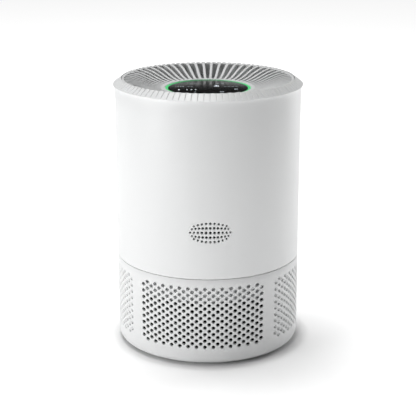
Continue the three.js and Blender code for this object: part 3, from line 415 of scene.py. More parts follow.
def lathe(name: str, profile: Profile, sides: int = 96) -> bpy.types.Object:
    """A closed outline in the radius-height plane turned about Z.

    Args:
        name: the piece's name.
        profile: [radius, height] points. It may run along the axis.
        sides: facets round the axis.

    Returns:
        The turned solid.
    """
    piece = outline(name, [Vector((0, -r, z)) for r, z in profile])
    with editing(piece):
        bpy.ops.mesh.spin(steps=sides, angle=math.tau, center=(0, 0, 0), axis=(0, 0, 1), dupli=False)
    tidy(piece)
    return piece


def turned(name: str, profile: Profile, edge: float, sides: int, steps: int = 3) -> bpy.types.Object:
    """A turned solid with rounded corners, shaded smooth.

    Args:
        name: the piece's name.
        profile: [radius, height] points.
        edge: reach of the corners' rounds.
        sides: facets round the axis.
        steps: spans in each round.

    Returns:
        The solid.
    """
    return smooth(lathe(name, soften(profile, edge, steps), sides))


def upright(name: str, place: Vector, profile: Profile, sides: int = 24) -> bpy.types.Object:
    """A turned solid that stands at a place.

    Args:
        name: the piece's name.
        place: where its axis stands and its height is 0.
        profile: [radius, height] points.
        sides: facets round its axis.

    Returns:
        The solid.
    """
    return moved(lathe(name, profile, sides), place)


def sector(name: str, profile: Profile, turn0: float, turn1: float, steps: int = 6) -> bpy.types.Object:
    """Part of a turned ring, closed at both ends.

    Args:
        name: the piece's name.
        profile: its section.
        turn0: where it starts.
        turn1: where it ends.
        steps: spans between them.

    Returns:
        The solid.
    """
    piece = outline(name, [around(r, turn0, z) for r, z in profile])
    with editing(piece):
        bpy.ops.mesh.edge_face_add()
        bpy.ops.mesh.duplicate()
        bpy.ops.mesh.spin(
            steps=steps, angle=math.radians(turn1 - turn0), center=(0, 0, 0), axis=(0, 0, 1), dupli=False
        )
    tidy(piece)
    return piece


def prism(name: str, corners: list[Vector], depth: Vector) -> bpy.types.Object:
    """A flat outline pushed out to a closed solid.

    Args:
        name: the piece's name.
        corners: the outline's points.
        depth: which way and how far it is pushed.

    Returns:
        The solid.
    """
    piece = outline(name, corners)
    with editing(piece):
        bpy.ops.mesh.edge_face_add()
        bpy.ops.mesh.extrude_region_move(TRANSFORM_OT_translate={"value": tuple(depth * MM)})
    tidy(piece)
    return piece


def plate(name: str, profile: Profile, thick: float) -> bpy.types.Object:
    """A plate that stands radially at the front.

    Args:
        name: the piece's name.
        profile: its [radius, height] outline.
        thick: its thickness.

    Returns:
        The solid.
    """
    corners = [Vector((-thick / 2, -r, z)) for r, z in profile]
    return prism(name, corners, Vector((thick, 0, 0)))


def rod(name: str, start: Vector, end: Vector, profile: Profile, sides: int = 20) -> bpy.types.Object:
    """A turned shape along a line.

    Args:
        name: the piece's name.
        start: where its height is 0.
        end: a point that it points to.
        profile: its [radius, height] outline.
        sides: facets round it.

    Returns:
        The solid, in place.
    """
    piece = lathe(name, profile, sides)
    turn = (end - start).to_track_quat("Z", "Y").to_matrix().to_4x4()
    piece.data.transform(Matrix.Translation(start * MM) @ turn)
    return piece


def block(name: str, low: Vector, high: Vector, edge: float = 0.3) -> bpy.types.Object:
    """A box with rounded edges.

    Args:
        name: the piece's name.
        low: its lowest corner.
        high: its highest corner.
        edge: width of the edges' round.

    Returns:
        The solid.
    """
    corners = [Vector((x, y, low.z)) for x, y in band(low.x, high.x, low.y, high.y)]
    piece = prism(name, corners, Vector((0, 0, high.z - low.z)))
    if edge:
        bevel(piece, edge)
    return piece


def carve(piece: bpy.types.Object, *cutters: bpy.types.Object) -> None:
    """Cuts other solids out of a piece and removes them.

    Args:
        piece: the piece.
        cutters: the solids, apart from each other.
    """
    tool = joined("cutter", *cutters)
    apply(piece, "BOOLEAN", operation="DIFFERENCE", solver="EXACT", object=tool)
    bpy.data.objects.remove(tool)


def refined(node: str, edge: float = 0.25) -> bpy.types.Object:
    """A copy of a CAD node with its facets merged and its edges rounded.

    Args:
        node: the CAD node's name.
        edge: width of the edges' round.

    Returns:
        The copy.
    """
    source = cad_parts[node]
    piece = source.copy()
    piece.data = source.data.copy()
    piece.parent = None
    piece.name = f"{node}_fine"
    for key in list(piece.keys()):
        del piece[key]
    bpy.context.scene.collection.objects.link(piece)
    tidy(piece)
    with editing(piece):
        bpy.ops.mesh.dissolve_limited(angle_limit=FLAT)
    bevel(piece, edge, angle=42)
    return piece


# ---------------------------------------------------------------- finishes


def linear(colour: str) -> Colour:
    """Turns an sRGB hex colour into linear light.

    Args:
        colour: six hex digits after a hash.

    Returns:
        Red, green, blue and a full alpha.
    """
    shares = [int(colour[k : k + 2], 16) / 255 for k in (1, 3, 5)]
    light = [s / 12.92 if s <= 0.04045 else ((s + 0.055) / 1.055) ** 2.4 for s in shares]
    return (*light, 1.0)


def add_node(
    tree: bpy.types.NodeTree, kind: str, inputs: dict[str | int, Any] | None = None, **settings: Any
) -> bpy.types.Node:
    """Adds a shader node.

    Args:
        tree: the material's node tree.
        kind: the node's type.
        inputs: socket name or number, with its value or the socket that feeds it.
        settings: the node's own settings.

    Returns:
        The node.
    """
    node = tree.nodes.new(kind)
    for key, value in settings.items():
        setattr(node, key, value)
    for key, value in (inputs or {}).items():
        if isinstance(value, bpy.types.NodeSocket):
            tree.links.new(value, node.inputs[key])
        else:
            node.inputs[key].default_value = value
    return node


def object_place(tree: bpy.types.NodeTree) -> bpy.types.NodeSocket:
    """Object coordinates."""
    return add_node(tree, "ShaderNodeTexCoord").outputs["Object"]


def maths(tree: bpy.types.NodeTree, operation: str, *values: Any) -> bpy.types.NodeSocket:
    """The result of a maths node on numbers or sockets."""
    return add_node(tree, "ShaderNodeMath", dict(enumerate(values)), operation=operation).outputs[0]


def blend(
    tree: bpy.types.NodeTree, share: bpy.types.NodeSocket, low: Colour, high: Colour
) -> bpy.types.NodeSocket:
    """Two colours mixed by a share from 0 to 1."""
    inputs = {"Factor": share, 6: low, 7: high}
    return add_node(tree, "ShaderNodeMix", inputs, data_type="RGBA").outputs[2]


def mapped(
    tree: bpy.types.NodeTree, value: bpy.types.NodeSocket, start: Point = (0.0, 1.0), end: Point = (0.0, 1.0)
) -> bpy.types.NodeSocket:
    """Maps a value from one range to another, and keeps it inside.

    Args:
        tree: the material's node tree.
        value: the socket to map.
        start: the range that it comes in.
        end: the range that it leaves in.

    Returns:
        The mapped value.
    """
    inputs = {0: value, 1: start[0], 2: start[1], 3: end[0], 4: end[1]}
    return add_node(tree, "ShaderNodeMapRange", inputs).outputs[0]


def per_metre(size_mm: float) -> float:
    """A pattern's scale, from the real size of its grain in millimetres."""
    return 1 / (size_mm * MM)


class Weave(Enum):
    """How a fabric's threads lie."""

    NET = "net"
    FELT = "felt"
    TAPE = "tape"


@dataclass(frozen=True)
class Finish:
    """What a surface is made of, with the values every finish shares.

    Args:
        name: the material's common name and how it was made.
        colour: its colour.
        roughness: its roughness.
        ior: its refractive index.
        grain_mm: size of the surface's grain.
        relief_mm: height of that grain.
        shade: how far the grain's colour strays, as a share.
    """

    name: str
    colour: str
    roughness: float = 0.5
    ior: float = 1.5
    grain_mm: float = 0.6
    relief_mm: float = 0.01
    shade: float = 0.03

    def shader(self, tree: bpy.types.NodeTree, grain: bpy.types.NodeSocket) -> dict[str, Any]:
        """The sockets that differ from the plain ones.

        Args:
            tree: the material's node tree.
            grain: the surface's grain, from 0 to 1.

        Returns:
            Values or sockets for the main shader.
        """
        return {}

    def grain(self, tree: bpy.types.NodeTree, place: bpy.types.NodeSocket) -> bpy.types.NodeSocket:
        """The surface's grain.

        Args:
            tree: the material's node tree.
            place: object coordinates.

        Returns:
            A socket from 0 to 1.
        """
        inputs = {"Vector": place, "Scale": per_metre(self.grain_mm), "Detail": 3.0}
        return add_node(tree, "ShaderNodeTexNoise", inputs).outputs["Fac"]

    def make(self) -> bpy.types.Material:
        """Builds the material, or gives the one already built."""
        known = bpy.data.materials.get(self.name)
        if known:
            return known
        material = bpy.data.materials.new(self.name)
        material.use_nodes = True
        tree = material.node_tree
        tree.nodes.clear()
        grain = self.grain(tree, object_place(tree))
        low = tuple(c * (1 - self.shade) for c in linear(self.colour)[:3]) + (1.0,)
        relief = add_node(
            tree, "ShaderNodeBump", {"Height": grain, "Distance": self.relief_mm * MM, "Strength": 1.0}
        ).outputs["Normal"]
        sockets = {
            "Base Color": blend(tree, grain, low, linear(self.colour)),
            "Roughness": self.roughness,
            "IOR": self.ior,
            "Normal": relief,
            **self.shader(tree, grain),
        }
        shader = add_node(tree, "ShaderNodeBsdfPrincipled", sockets)
        add_node(tree, "ShaderNodeOutputMaterial", {"Surface": shader.outputs[0]})
        return material


@dataclass(frozen=True)
class MouldedPlastic(Finish):
    """Injection-moulded plastic. A fine spark-eroded texture breaks up its highlights."""

    ior: float = 1.53
    wander: float = 0.05

    def shader(self, tree: bpy.types.NodeTree, grain: bpy.types.NodeSocket) -> dict[str, Any]:
        """Roughness wanders a little with the texture."""
        ends = (self.roughness - self.wander, self.roughness + self.wander)
        return {"Roughness": mapped(tree, grain, end=ends)}


@dataclass(frozen=True)
class LitGuide(Finish):
    """Clear acrylic with light fed in from its two sides, so it is brightest there."""

    glow: str = "#4FD27C"
    dim: str = "#1F7A43"
    reach_mm: float = 45.0
    dim_share: float = 0.3
    strength: float = 0.85

    def shader(self, tree: bpy.types.NodeTree, grain: bpy.types.NodeSocket) -> dict[str, Any]:
        """The glow grows towards the two ends of the X axis."""
        x = add_node(tree, "ShaderNodeSeparateXYZ", {0: object_place(tree)}).outputs["X"]
        ends = (self.dim_share * self.reach_mm * MM, self.reach_mm * MM)
        share = mapped(tree, maths(tree, "ABSOLUTE", x), ends)
        glow = blend(tree, share, linear(self.dim), linear(self.glow))
        return {"Emission Color": glow, "Emission Strength": self.strength}


@dataclass(frozen=True)
class Metal(Finish):
    """Bare or plated metal with fine turned or rolled marks across it."""

    shade: float = 0.12
    stretch: float = 9.0

    def grain(self, tree: bpy.types.NodeTree, place: bpy.types.NodeSocket) -> bpy.types.NodeSocket:
        """Streaks that run round the piece."""
        drawn = add_node(tree, "ShaderNodeMapping", {"Vector": place, "Scale": (1.0, 1.0, self.stretch)})
        inputs = {"Vector": drawn.outputs[0], "Scale": per_metre(self.grain_mm * self.stretch), "Detail": 4.0}
        return add_node(tree, "ShaderNodeTexNoise", inputs).outputs["Fac"]

    def shader(self, tree: bpy.types.NodeTree, grain: bpy.types.NodeSocket) -> dict[str, Any]:
        """Fully metallic."""
        return {"Metallic": 1.0}


@dataclass(frozen=True)
class Woven(Finish):
    """Cloth. Threads cross round the piece and up it, or lie as loose felt."""

    weave: Weave = Weave.NET
    wall_mm: float = 84.0

    def grain(self, tree: bpy.types.NodeTree, place: bpy.types.NodeSocket) -> bpy.types.NodeSocket:
        """Raised threads, from their real spacing."""
        if self.weave is Weave.FELT:
            inputs = {"Vector": place, "Scale": per_metre(self.grain_mm), "Randomness": 1.0}
            return add_node(tree, "ShaderNodeTexVoronoi", inputs).outputs["Distance"]
        axes = add_node(tree, "ShaderNodeSeparateXYZ", {0: place})
        across = axes.outputs["X"]
        along = axes.outputs["Z"]
        cycle = math.tau * per_metre(self.grain_mm)
        across_cycle = cycle
        if self.weave is Weave.NET:
            across = maths(tree, "ARCTAN2", axes.outputs["Y"], across)
            across_cycle = round(math.tau * self.wall_mm / self.grain_mm)
        else:
            along = axes.outputs["Y"]
        threads = [
            maths(tree, "SINE", maths(tree, "MULTIPLY", socket, float(rate)))
            for socket, rate in ((across, across_cycle), (along, cycle))
        ]
        return mapped(tree, maths(tree, "MAXIMUM", *threads), (-1.0, 1.0))

    def shader(self, tree: bpy.types.NodeTree, grain: bpy.types.NodeSocket) -> dict[str, Any]:
        """A soft sheen from loose fibre ends."""
        return {"Sheen Weight": 0.08, "Sheen Roughness": 0.5}


@dataclass(frozen=True)
class Foam(Finish):
    """Foam and rubber: small closed cells, no gloss."""

    def grain(self, tree: bpy.types.NodeTree, place: bpy.types.NodeSocket) -> bpy.types.NodeSocket:
        """Cells of the foam's real size."""
        inputs = {"Vector": place, "Scale": per_metre(self.grain_mm)}
        return add_node(tree, "ShaderNodeTexVoronoi", inputs).outputs["Distance"]


@dataclass(frozen=True)
class Winding(Finish):
    """Enamelled copper wire laid side by side."""

    def grain(self, tree: bpy.types.NodeTree, place: bpy.types.NodeSocket) -> bpy.types.NodeSocket:
        """One band for each turn of wire."""
        inputs = {"Vector": place, "Scale": per_metre(self.grain_mm) / math.tau * 0.3, "Distortion": 0.4}
        wave = add_node(tree, "ShaderNodeTexWave", inputs, bands_direction="Z")
        return wave.outputs["Fac"]

    def shader(self, tree: bpy.types.NodeTree, grain: bpy.types.NodeSocket) -> dict[str, Any]:
        """Metal below a clear enamel."""
        return {"Metallic": 0.9, "Coat Weight": 0.5, "Coat Roughness": 0.2}


@dataclass(frozen=True)
class SolderMask(Finish):
    """A printed board: green lacquer over copper tracks that show as paler lines."""

    def grain(self, tree: bpy.types.NodeTree, place: bpy.types.NodeSocket) -> bpy.types.NodeSocket:
        """Tracks as the joints of a brick pattern."""
        inputs = {
            "Vector": place,
            "Scale": per_metre(self.grain_mm),
            "Mortar Size": 0.09,
            "Color1": (0.0, 0.0, 0.0, 1.0),
            "Color2": (0.0, 0.0, 0.0, 1.0),
            "Mortar": (1.0, 1.0, 1.0, 1.0),
        }
        return add_node(tree, "ShaderNodeTexBrick", inputs).outputs["Color"]


@dataclass(frozen=True)
class GlowSweepWithPaintedShadow(Finish):
    """Opal acrylic with a painted glow in place of light from below. The glow is zero where the unit stands,
    which is a painted contact shadow, and grows outward, brighter towards the far floor.
    """

    # Painted contact shadow: there is no glow inside the first radius and full glow past the second. The glow
    # then keeps growing out to the far radius.
    painted_shadow_m: float = 0.096
    painted_shadow_edge_m: float = 0.113
    far_m: float = 0.7
    painted_shadow_edge_glow: float = 0.42
    far_glow: float = 0.42

    def shader(self, tree: bpy.types.NodeTree, grain: bpy.types.NodeSocket) -> dict[str, Any]:
        """The glow grows with the distance from the middle. It is zero under the unit as a painted contact
        shadow, then brighter towards the far floor.
        """
        place = object_place(tree)
        away = add_node(tree, "ShaderNodeVectorMath", {0: place}, operation="LENGTH").outputs["Value"]
        # The first ramp paints the contact shadow round the unit's foot, and the second brightens the far
        # floor.
        painted_shadow_ramp = mapped(tree, away, (self.painted_shadow_m, self.painted_shadow_edge_m), (0.0, self.painted_shadow_edge_glow))
        far = mapped(tree, away, (self.painted_shadow_edge_m, self.far_m), (0.0, self.far_glow))
        return {"Emission Color": linear("#FFFFFF"), "Emission Strength": maths(tree, "ADD", painted_shadow_ramp, far)}


@dataclass(frozen=True)
class LitMark(Finish):
    """A symbol lit from behind a smoked lens, soft and slightly cold."""

    strength: float = 0.75

    def shader(self, tree: bpy.types.NodeTree, grain: bpy.types.NodeSocket) -> dict[str, Any]:
        """The glow has the mark's own colour."""
        return {"Emission Color": linear(self.colour), "Emission Strength": self.strength}


# Satin ABS: nearly white, slightly cool, with a wide soft highlight.
SHELL_WHITE = MouldedPlastic("satin_white_abs", "#F2F3F3", 0.42, grain_mm=0.9, relief_mm=0.006, shade=0.012)
# Plain moulded ABS of the inner pieces: a touch greyer and duller.
INNER_WHITE = MouldedPlastic("plain_white_abs", "#ECEDEE", 0.55, grain_mm=1.2, relief_mm=0.012, shade=0.03)
DARK_PLASTIC = MouldedPlastic("charcoal_abs", "#34373A", 0.5, grain_mm=1.0, relief_mm=0.015, shade=0.15)
# Smoked acrylic: black and mirror-smooth, with a faint haze.
LENS_BLACK = MouldedPlastic("smoked_acrylic", "#050607", 0.2, ior=1.49, grain_mm=14, relief_mm=0.0005)
LIGHT_GREEN = LitGuide("lit_green_acrylic", "#2F7A4C", 0.3, ior=1.49, grain_mm=2.5, relief_mm=0.002)
MARK_WHITE = LitMark("backlit_symbol_ink", "#DDE4EA", 0.4, strength=1.5)
MARK_DIM = LitMark("dim_symbol_ink", "#A6AEB5", 0.4, strength=0.6)
FILTER_PAPER = Finish("pleated_filter_paper", "#F0EEE6", 0.9, grain_mm=0.8, relief_mm=0.05, shade=0.08)
CARBON_FELT = Woven("carbon_felt", "#19191B", 0.95, grain_mm=1.6, relief_mm=0.4, shade=0.5, weave=Weave.FELT)
# A net of this kind usually has threads about 0.7 mm apart. They are drawn 1.4 mm apart so that they show.
MESH_NET = Woven("black_polyester_net", "#0C0C0D", 0.85, grain_mm=1.4, relief_mm=0.2, shade=0.7)
TAB_TAPE = Woven("grey_woven_tape", "#A2A7AB", 0.9, grain_mm=1.1, relief_mm=0.1, shade=0.3, weave=Weave.TAPE)
SEAL_FOAM = Foam("grey_sealing_foam", "#45484B", 0.95, grain_mm=1.0, relief_mm=0.15, shade=0.35)
FOOT_RUBBER = Foam("black_foot_rubber", "#232426", 0.8, grain_mm=0.7, relief_mm=0.02, shade=0.1)
LEAD_RUBBER = Foam("black_cable_sheath", "#171719", 0.6, grain_mm=1.5, relief_mm=0.02, shade=0.1)
MOTOR_STEEL = Metal("drawn_steel", "#B9BCC0", 0.35, grain_mm=0.5, relief_mm=0.006)
ZINC_PLATE = Metal("zinc_plated_steel", "#C8CCD2", 0.28, grain_mm=0.4, relief_mm=0.004)
MAGNET_IRON = Metal("sintered_ferrite", "#4D4F52", 0.6, grain_mm=0.8, relief_mm=0.02)
COPPER_WIRE = Winding("enamelled_copper_wire", "#B46A3A", 0.35, grain_mm=0.6, relief_mm=0.12, shade=0.5)
# The floor glows, with a painted contact shadow round the unit's foot.
FLOOR_SHEET = GlowSweepWithPaintedShadow("opal_acrylic_sweep", "#F4F4F4", 0.9, grain_mm=3, relief_mm=0.01, shade=0.01)
BOARD_GREEN = SolderMask("green_solder_mask", "#1A5436", 0.35, grain_mm=5.0, relief_mm=0.02, shade=-0.35)


def dress(
    piece: bpy.types.Object, finish: Finish, body: str, slot: str | None, *nodes: str
) -> bpy.types.Object:
    """Gives a finished piece its material and its body, and hides the CAD nodes that it stands for.

    Args:
        piece: the piece.
        finish: what it is made of.
        body: the CAD body that it moves with.
        slot: the record's material slot, if it has one. It is not used.
        nodes: the CAD nodes that it replaces.

    Returns:
        The piece.
    """
    piece.data.materials.clear()
    piece.data.materials.append(finish.make())
    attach(piece, body)
    if nodes:
        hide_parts(*nodes)
    LOG.info("%s: %d faces, moves with %s", piece.name, len(piece.data.polygons), body)
    return piece


# ---------------------------------------------------------------- base


class Ending(Enum):
    """How an extended skin is closed."""

    BRIDGE = "bridge"
    FILL = "fill"


@dataclass
class Base:
    """The cup that the unit stands on, with its perforated wall, and the four feet.

    Each quarter of the wall is drawn by its own mould slide, so its holes run along that quarter's
    own normal and keep an even spacing across it, not round it.
    """

    room: Span = field(default_factory=lambda: span("base_shell"))
    wall: float = WALL
    fillet: float = 6.5
    floor_hub_r: float = 6.0
    slides: int = 4
    slide_turn: float = -5.8
    pitch_x: float = 8.8
    pitch_z: float = 7.11
    hole_r: float = 1.9
    hole_edge: float = 0.3
    rows: int = 10
    across: int = 14
    first_drop: float = 10.3
    edge_points: int = 3
    rim_round: float = 0.5
    lug_half_turn: float = 5
    post_turn: float = 154
    post_inset: float = 7.2
    post_wall: float = 4.5
    post_drop: float = 5
    plunger_travel: float = 2.5
    unlock_turn: float = 15
    lug_h: float = 2.5
    lug_drop: float = 13
    seat_inset: float = 5
    seat_h: float = 3
    guide_h: float = 7
    rib: float = 2
    skirt_step: float = 1.1
    run: float = 1.4
    fit: float = CLEAR
    foot_count: int = 4
    sunk: float = 0.5
    post_margin: float = 2.5

    def rhombus(self) -> Profile:
        """The outline of one cell of the hole pattern, with the points that its neighbours share."""
        half_x, half_z = self.pitch_x / 2, self.pitch_z / 2
        tips = [(half_x, 0.0), (0.0, half_z), (-half_x, 0.0), (0.0, -half_z)]
        points = []
        for k, tip in enumerate(tips):
            after = tips[(k + 1) % 4]
            for step in range(self.edge_points):
                t = step / self.edge_points
                points.append((tip[0] * (1 - t) + after[0] * t, tip[1] * (1 - t) + after[1] * t))
        return points

    def cell(self, name: str, holed: bool) -> bpy.types.Object:
        """One flat cell of the wall: x across, y into the wall, z up.

        Args:
            name: the piece's name.
            holed: whether it has a hole.

        Returns:
            The cell.
        """
        border = self.rhombus()
        count = len(border)

        def round_ring(r: float, depth: float) -> list[Vector]:
            """Points round the hole."""
            turns = (math.tau * k / count for k in range(count))
            return [Vector((r * math.cos(a), depth, r * math.sin(a))) for a in turns]

        face, back = ([Vector((x, depth, z)) for x, z in border] for depth in (0.0, self.wall))
        outer = round_ring(self.hole_r + self.hole_edge, 0.0)
        inner = round_ring(self.hole_r, self.wall)
        if holed:
            return self.skin(name, [face, outer, round_ring(self.hole_r, self.hole_edge), inner, back])
        front_skin = self.skin(f"{name}_front", [face, outer], True)
        back_skin = self.skin(f"{name}_back", [back, inner], True)
        return joined(name, front_skin, back_skin)

    def skin(self, name: str, rings: list[list[Vector]], filled: bool = False) -> bpy.types.Object:
        """A strip of faces through rings of points.

        Args:
            name: the piece's name.
            rings: the rings, each with the same count of points.
            filled: whether the last ring is closed by a face.

        Returns:
            The strip.
        """
        piece = outline(name, rings[0])
        count = len(rings[0])
        with editing(piece, "EDGE"):
            for ring in rings[1:]:
                bpy.ops.mesh.extrude_edges_move()
                shape = bmesh.from_edit_mesh(piece.data)
                shape.verts.ensure_lookup_table()
                for vertex, point in zip(shape.verts[-count:], ring):
                    vertex.co = point * MM
                bmesh.update_edit_mesh(piece.data)
            if filled:
                bpy.ops.mesh.edge_face_add()
        return piece

    def field(
        self, cell: bpy.types.Object, x: float, z: float, counts: tuple[int, int], steps: Point
    ) -> bpy.types.Object:
        """Repeats a cell across and up.

        Args:
            cell: the cell, which is kept.
            x: place of the first one.
            z: height of the first one.
            counts: how many across and up.
            steps: the spacing across and up.

        Returns:
            The field of cells.
        """
        piece = twin(cell, Matrix.Translation(Vector((x, 0, z)) * MM))
        for count, offset in zip(counts, ((steps[0] * MM, 0, 0), (0, 0, steps[1] * MM))):
            apply(
                piece,
                "ARRAY",
                count=count,
                use_relative_offset=False,
                use_constant_offset=True,
                constant_offset_displace=offset,
            )
        return piece

    def quarter(self) -> tuple[bpy.types.Object, float, float]:
        """The perforated wall of one mould slide, at the front.

        Returns:
            The wall, and the heights of its open lower and upper edges.
        """
        top_row = self.room.top - self.first_drop
        low_row = top_row - (self.rows - 1) * self.pitch_z
        half_x = (self.across - 1) / 2 * self.pitch_x
        side_x = half_x + self.pitch_x
        holed = self.cell("holed_cell", True)
        blank = self.cell("blank_cell", False)
        low_edge, high_edge = low_row - self.pitch_z / 2, top_row + self.pitch_z / 2
        wide_x = half_x + self.pitch_x / 2
        end_x = wide_x + self.pitch_x
        second_row = low_row + self.pitch_z / 2
        pitch = (self.pitch_x, self.pitch_z)
        parts = [
            self.field(holed, -half_x, low_row, (self.across, self.rows), pitch),
            self.field(holed, -wide_x, second_row, (self.across + 1, self.rows - 1), pitch),
            self.field(blank, -side_x, low_row, (2, self.rows), (2 * side_x, self.pitch_z)),
            self.field(blank, -end_x, second_row, (2, self.rows - 1), (2 * end_x, self.pitch_z)),
            self.field(blank, -end_x, low_edge, (self.across + 3, 2), (self.pitch_x, high_edge - low_edge)),
        ]
        for cell in (holed, blank):
            bpy.data.objects.remove(cell)
        wall = joined("wall_quarter", *parts)
        with editing(wall):
            bpy.ops.mesh.remove_doubles(threshold=MERGE)
        radius = self.room.radius
        move_points(wall, lambda p: Vector((p.x, -math.sqrt((radius - p.y) ** 2 - p.x**2), p.z)))
        half = math.pi / self.slides
        cuts = [
            ((0, 0, 0), (math.cos(half), math.sin(half), 0)),
            ((0, 0, 0), (-math.cos(half), math.sin(half), 0)),
            ((0, 0, low_edge * MM), (0, 0, -1)),
            ((0, 0, high_edge * MM), (0, 0, 1)),
        ]
        for point, normal in cuts:
            with editing(wall):
                bpy.ops.mesh.bisect(plane_co=point, plane_no=normal, clear_outer=True, threshold=1e-7)
        return wall, low_edge, high_edge

    def extend(
        self, piece: bpy.types.Object, edge_z: float, outer: bool, stations: Profile, ending: Ending
    ) -> None:
        """Carries one skin of the wall on from its open edge.

        Args:
            piece: the wall.
            edge_z: height of the open edge.
            outer: whether it is the outer skin.
            stations: [radius, height] of each new ring.
            ending: how the last ring is closed.
        """
        split = self.room.radius - self.wall / 2

        def on_edge(edge: bmesh.types.BMEdge, outside: bool) -> bool:
            """Whether an edge lies on the outer or the inner open edge."""
            if not edge.is_boundary:
                return False
            return all(
                abs(v.co.z / MM - edge_z) < 0.01 and ((v.co.xy.length / MM > split) is outside)
                for v in edge.verts
            )

        with editing(piece, "EDGE"):
            select_edges(piece, lambda edge: on_edge(edge, outer))
            for r, z in stations:
                bpy.ops.mesh.extrude_edges_move()
                shape = bmesh.from_edit_mesh(piece.data)
                for vertex in (v for v in shape.verts if v.select):
                    vertex.co = (vertex.co.xy.normalized() * r * MM).to_3d() + Vector((0, 0, z * MM))
                bmesh.update_edit_mesh(piece.data)
            if ending is Ending.FILL:
                bpy.ops.mesh.edge_face_add()
                return
            shape = bmesh.from_edit_mesh(piece.data)
            for edge in shape.edges:
                if on_edge(edge, not outer):
                    edge.select_set(True)
            bmesh.update_edit_mesh(piece.data)
            bpy.ops.mesh.bridge_edge_loops()

    def shell(self) -> bpy.types.Object:
        """The whole cup: four perforated quarters, rim, fillet and floor.

        Returns:
            The cup.
        """
        wall, low_edge, high_edge = self.quarter()
        cup = joined("base_moulding", *repeated(wall, self.slides, self.slide_turn))
        with editing(cup):
            bpy.ops.mesh.remove_doubles(threshold=5 * MERGE)
        radius, foot, top = self.room.radius, self.room.foot, self.room.top
        inner, soft = radius - self.wall, self.rim_round
        floor, hub = foot + self.wall, self.floor_hub_r
        in_fillet = self.fillet - self.wall
        corner = soft * ROUND_SAG
        rim = [
            (radius, top - soft),
            (radius - corner, top - corner),
            (radius - soft, top),
            (inner + soft, top),
            (inner + corner, top - corner),
            (inner, top - soft),
        ]
        outside = [*arc(radius - self.fillet, foot + self.fillet, self.fillet, 0, -90), (hub, foot)]
        inside = [*arc(inner - in_fillet, floor + in_fillet, in_fillet, 0, -90, 3), (hub, floor)]
        self.extend(cup, high_edge, True, rim, Ending.BRIDGE)
        self.extend(cup, low_edge, True, outside, Ending.FILL)
        self.extend(cup, low_edge, False, inside, Ending.FILL)
        tidy(cup)
        return cup

    def fittings(self) -> list[bpy.types.Object]:
        """What is moulded inside the cup: the filter's rings, the lock lugs and the interlock post."""
        floor, top = self.room.foot + self.wall, self.room.top
        inner = self.room.radius - self.wall
        root = floor - self.sunk
        filter_r = span("filter_bottom_cap").radius
        seat, guide = filter_r - self.seat_inset, filter_r + self.run
        half = self.rib / 2
        sections = (
            band(seat - half, seat + half, root, floor + self.seat_h),
            band(guide, guide + self.rib, root, floor + self.guide_h),
        )
        rings = [lathe("locating_ring", soften(section, 0.4), 120) for section in sections]
        skirt_r = span("fan_deck").radius - self.skirt_step
        lug_top = top - self.lug_drop
        section = band(skirt_r + self.fit, inner + 1, lug_top - self.lug_h, lug_top)
        lug = sector("lug", section, -self.lug_half_turn, self.lug_half_turn)
        bevel(lug, 0.3)
        lugs = repeated(lug, self.slides, self.slide_turn + 45)
        return [*rings, *lugs, self.post(root, top - self.post_drop, inner)]

    def post(self, foot: float, top: float, inner: float) -> bpy.types.Object:
        """The interlock post. Its top falls away over the unlocking turn.

        Args:
            foot: height of its foot.
            top: height of its top at the start of the turn.
            inner: the wall's inner radius.

        Returns:
            The post with the rib that ties it to the wall.
        """
        middle, margin = inner - self.post_inset, self.post_margin
        low, high = middle - self.post_wall / 2, middle + self.post_wall / 2
        stem = sector("post", band(low, high, foot, top), -margin, self.unlock_turn + margin, 12)
        slope = self.plunger_travel / self.unlock_turn

        def lower(p: Vector) -> Vector:
            """Lowers a point of the top by the turn that it lies at."""
            if p.z < top - 1:
                return p
            return p - Vector((0, 0, slope * math.degrees(math.atan2(p.x, -p.y))))

        move_points(stem, lower)
        bevel(stem, 0.3)
        half = self.unlock_turn / 2
        section = band(high - 1, inner + 0.5, foot, span("fan_deck").foot - 3)
        rib = sector("tie", section, half - 1, half + 1, 2)
        bevel(rib, 0.3)
        whole = joined("post", stem, rib)
        whole.data.transform(turned_by(self.post_turn))
        return whole

    def feet(self) -> None:
        """The four pads: a soft round edge and a shallow moulded ring below."""
        for k in range(1, self.foot_count + 1):
            room = span(f"foot_pad_{k}")
            r, h = (room.high.x - room.low.x) / 2, room.top
            profile = [(0, 0.25), (r * 0.45, 0.25), (r * 0.5, 0), (r, 0), (r, h), (0, h)]
            pad = smooth(upright(f"rubber_foot_{k}", room.stand, soften(profile, 0.5), 48))
            dress(pad, FOOT_RUBBER, "base", "foot_rubber", f"foot_pad_{k}")

    def build(self) -> None:
        """Makes the cup with its inner fittings, and the feet."""
        cup = self.shell()
        pockets = []
        for k in range(1, self.foot_count + 1):
            room = span(f"foot_pad_{k}")
            r = (room.high.x - room.low.x) / 2 + self.fit
            pockets.append(upright("pocket", room.stand, band(0, r, -1, room.top + self.fit), 48))
        carve(cup, *pockets)
        cup = smooth(joined("base_moulding", cup, *self.fittings()), 40)
        dress(cup, SHELL_WHITE, "base", "white_shell", "base_shell")
        self.feet()


# ---------------------------------------------------------------- outer shells of the head


@dataclass(frozen=True)
class VentRow:
    """One row of the sensor vent's holes.

    Args:
        count: how many holes it has.
        up: its height above the vent's middle.
        pitch: spacing of the holes at the row's middle.
        bow: how fast it bends towards the vent's middle.
    """

    count: int
    up: float
    pitch: float
    bow: float


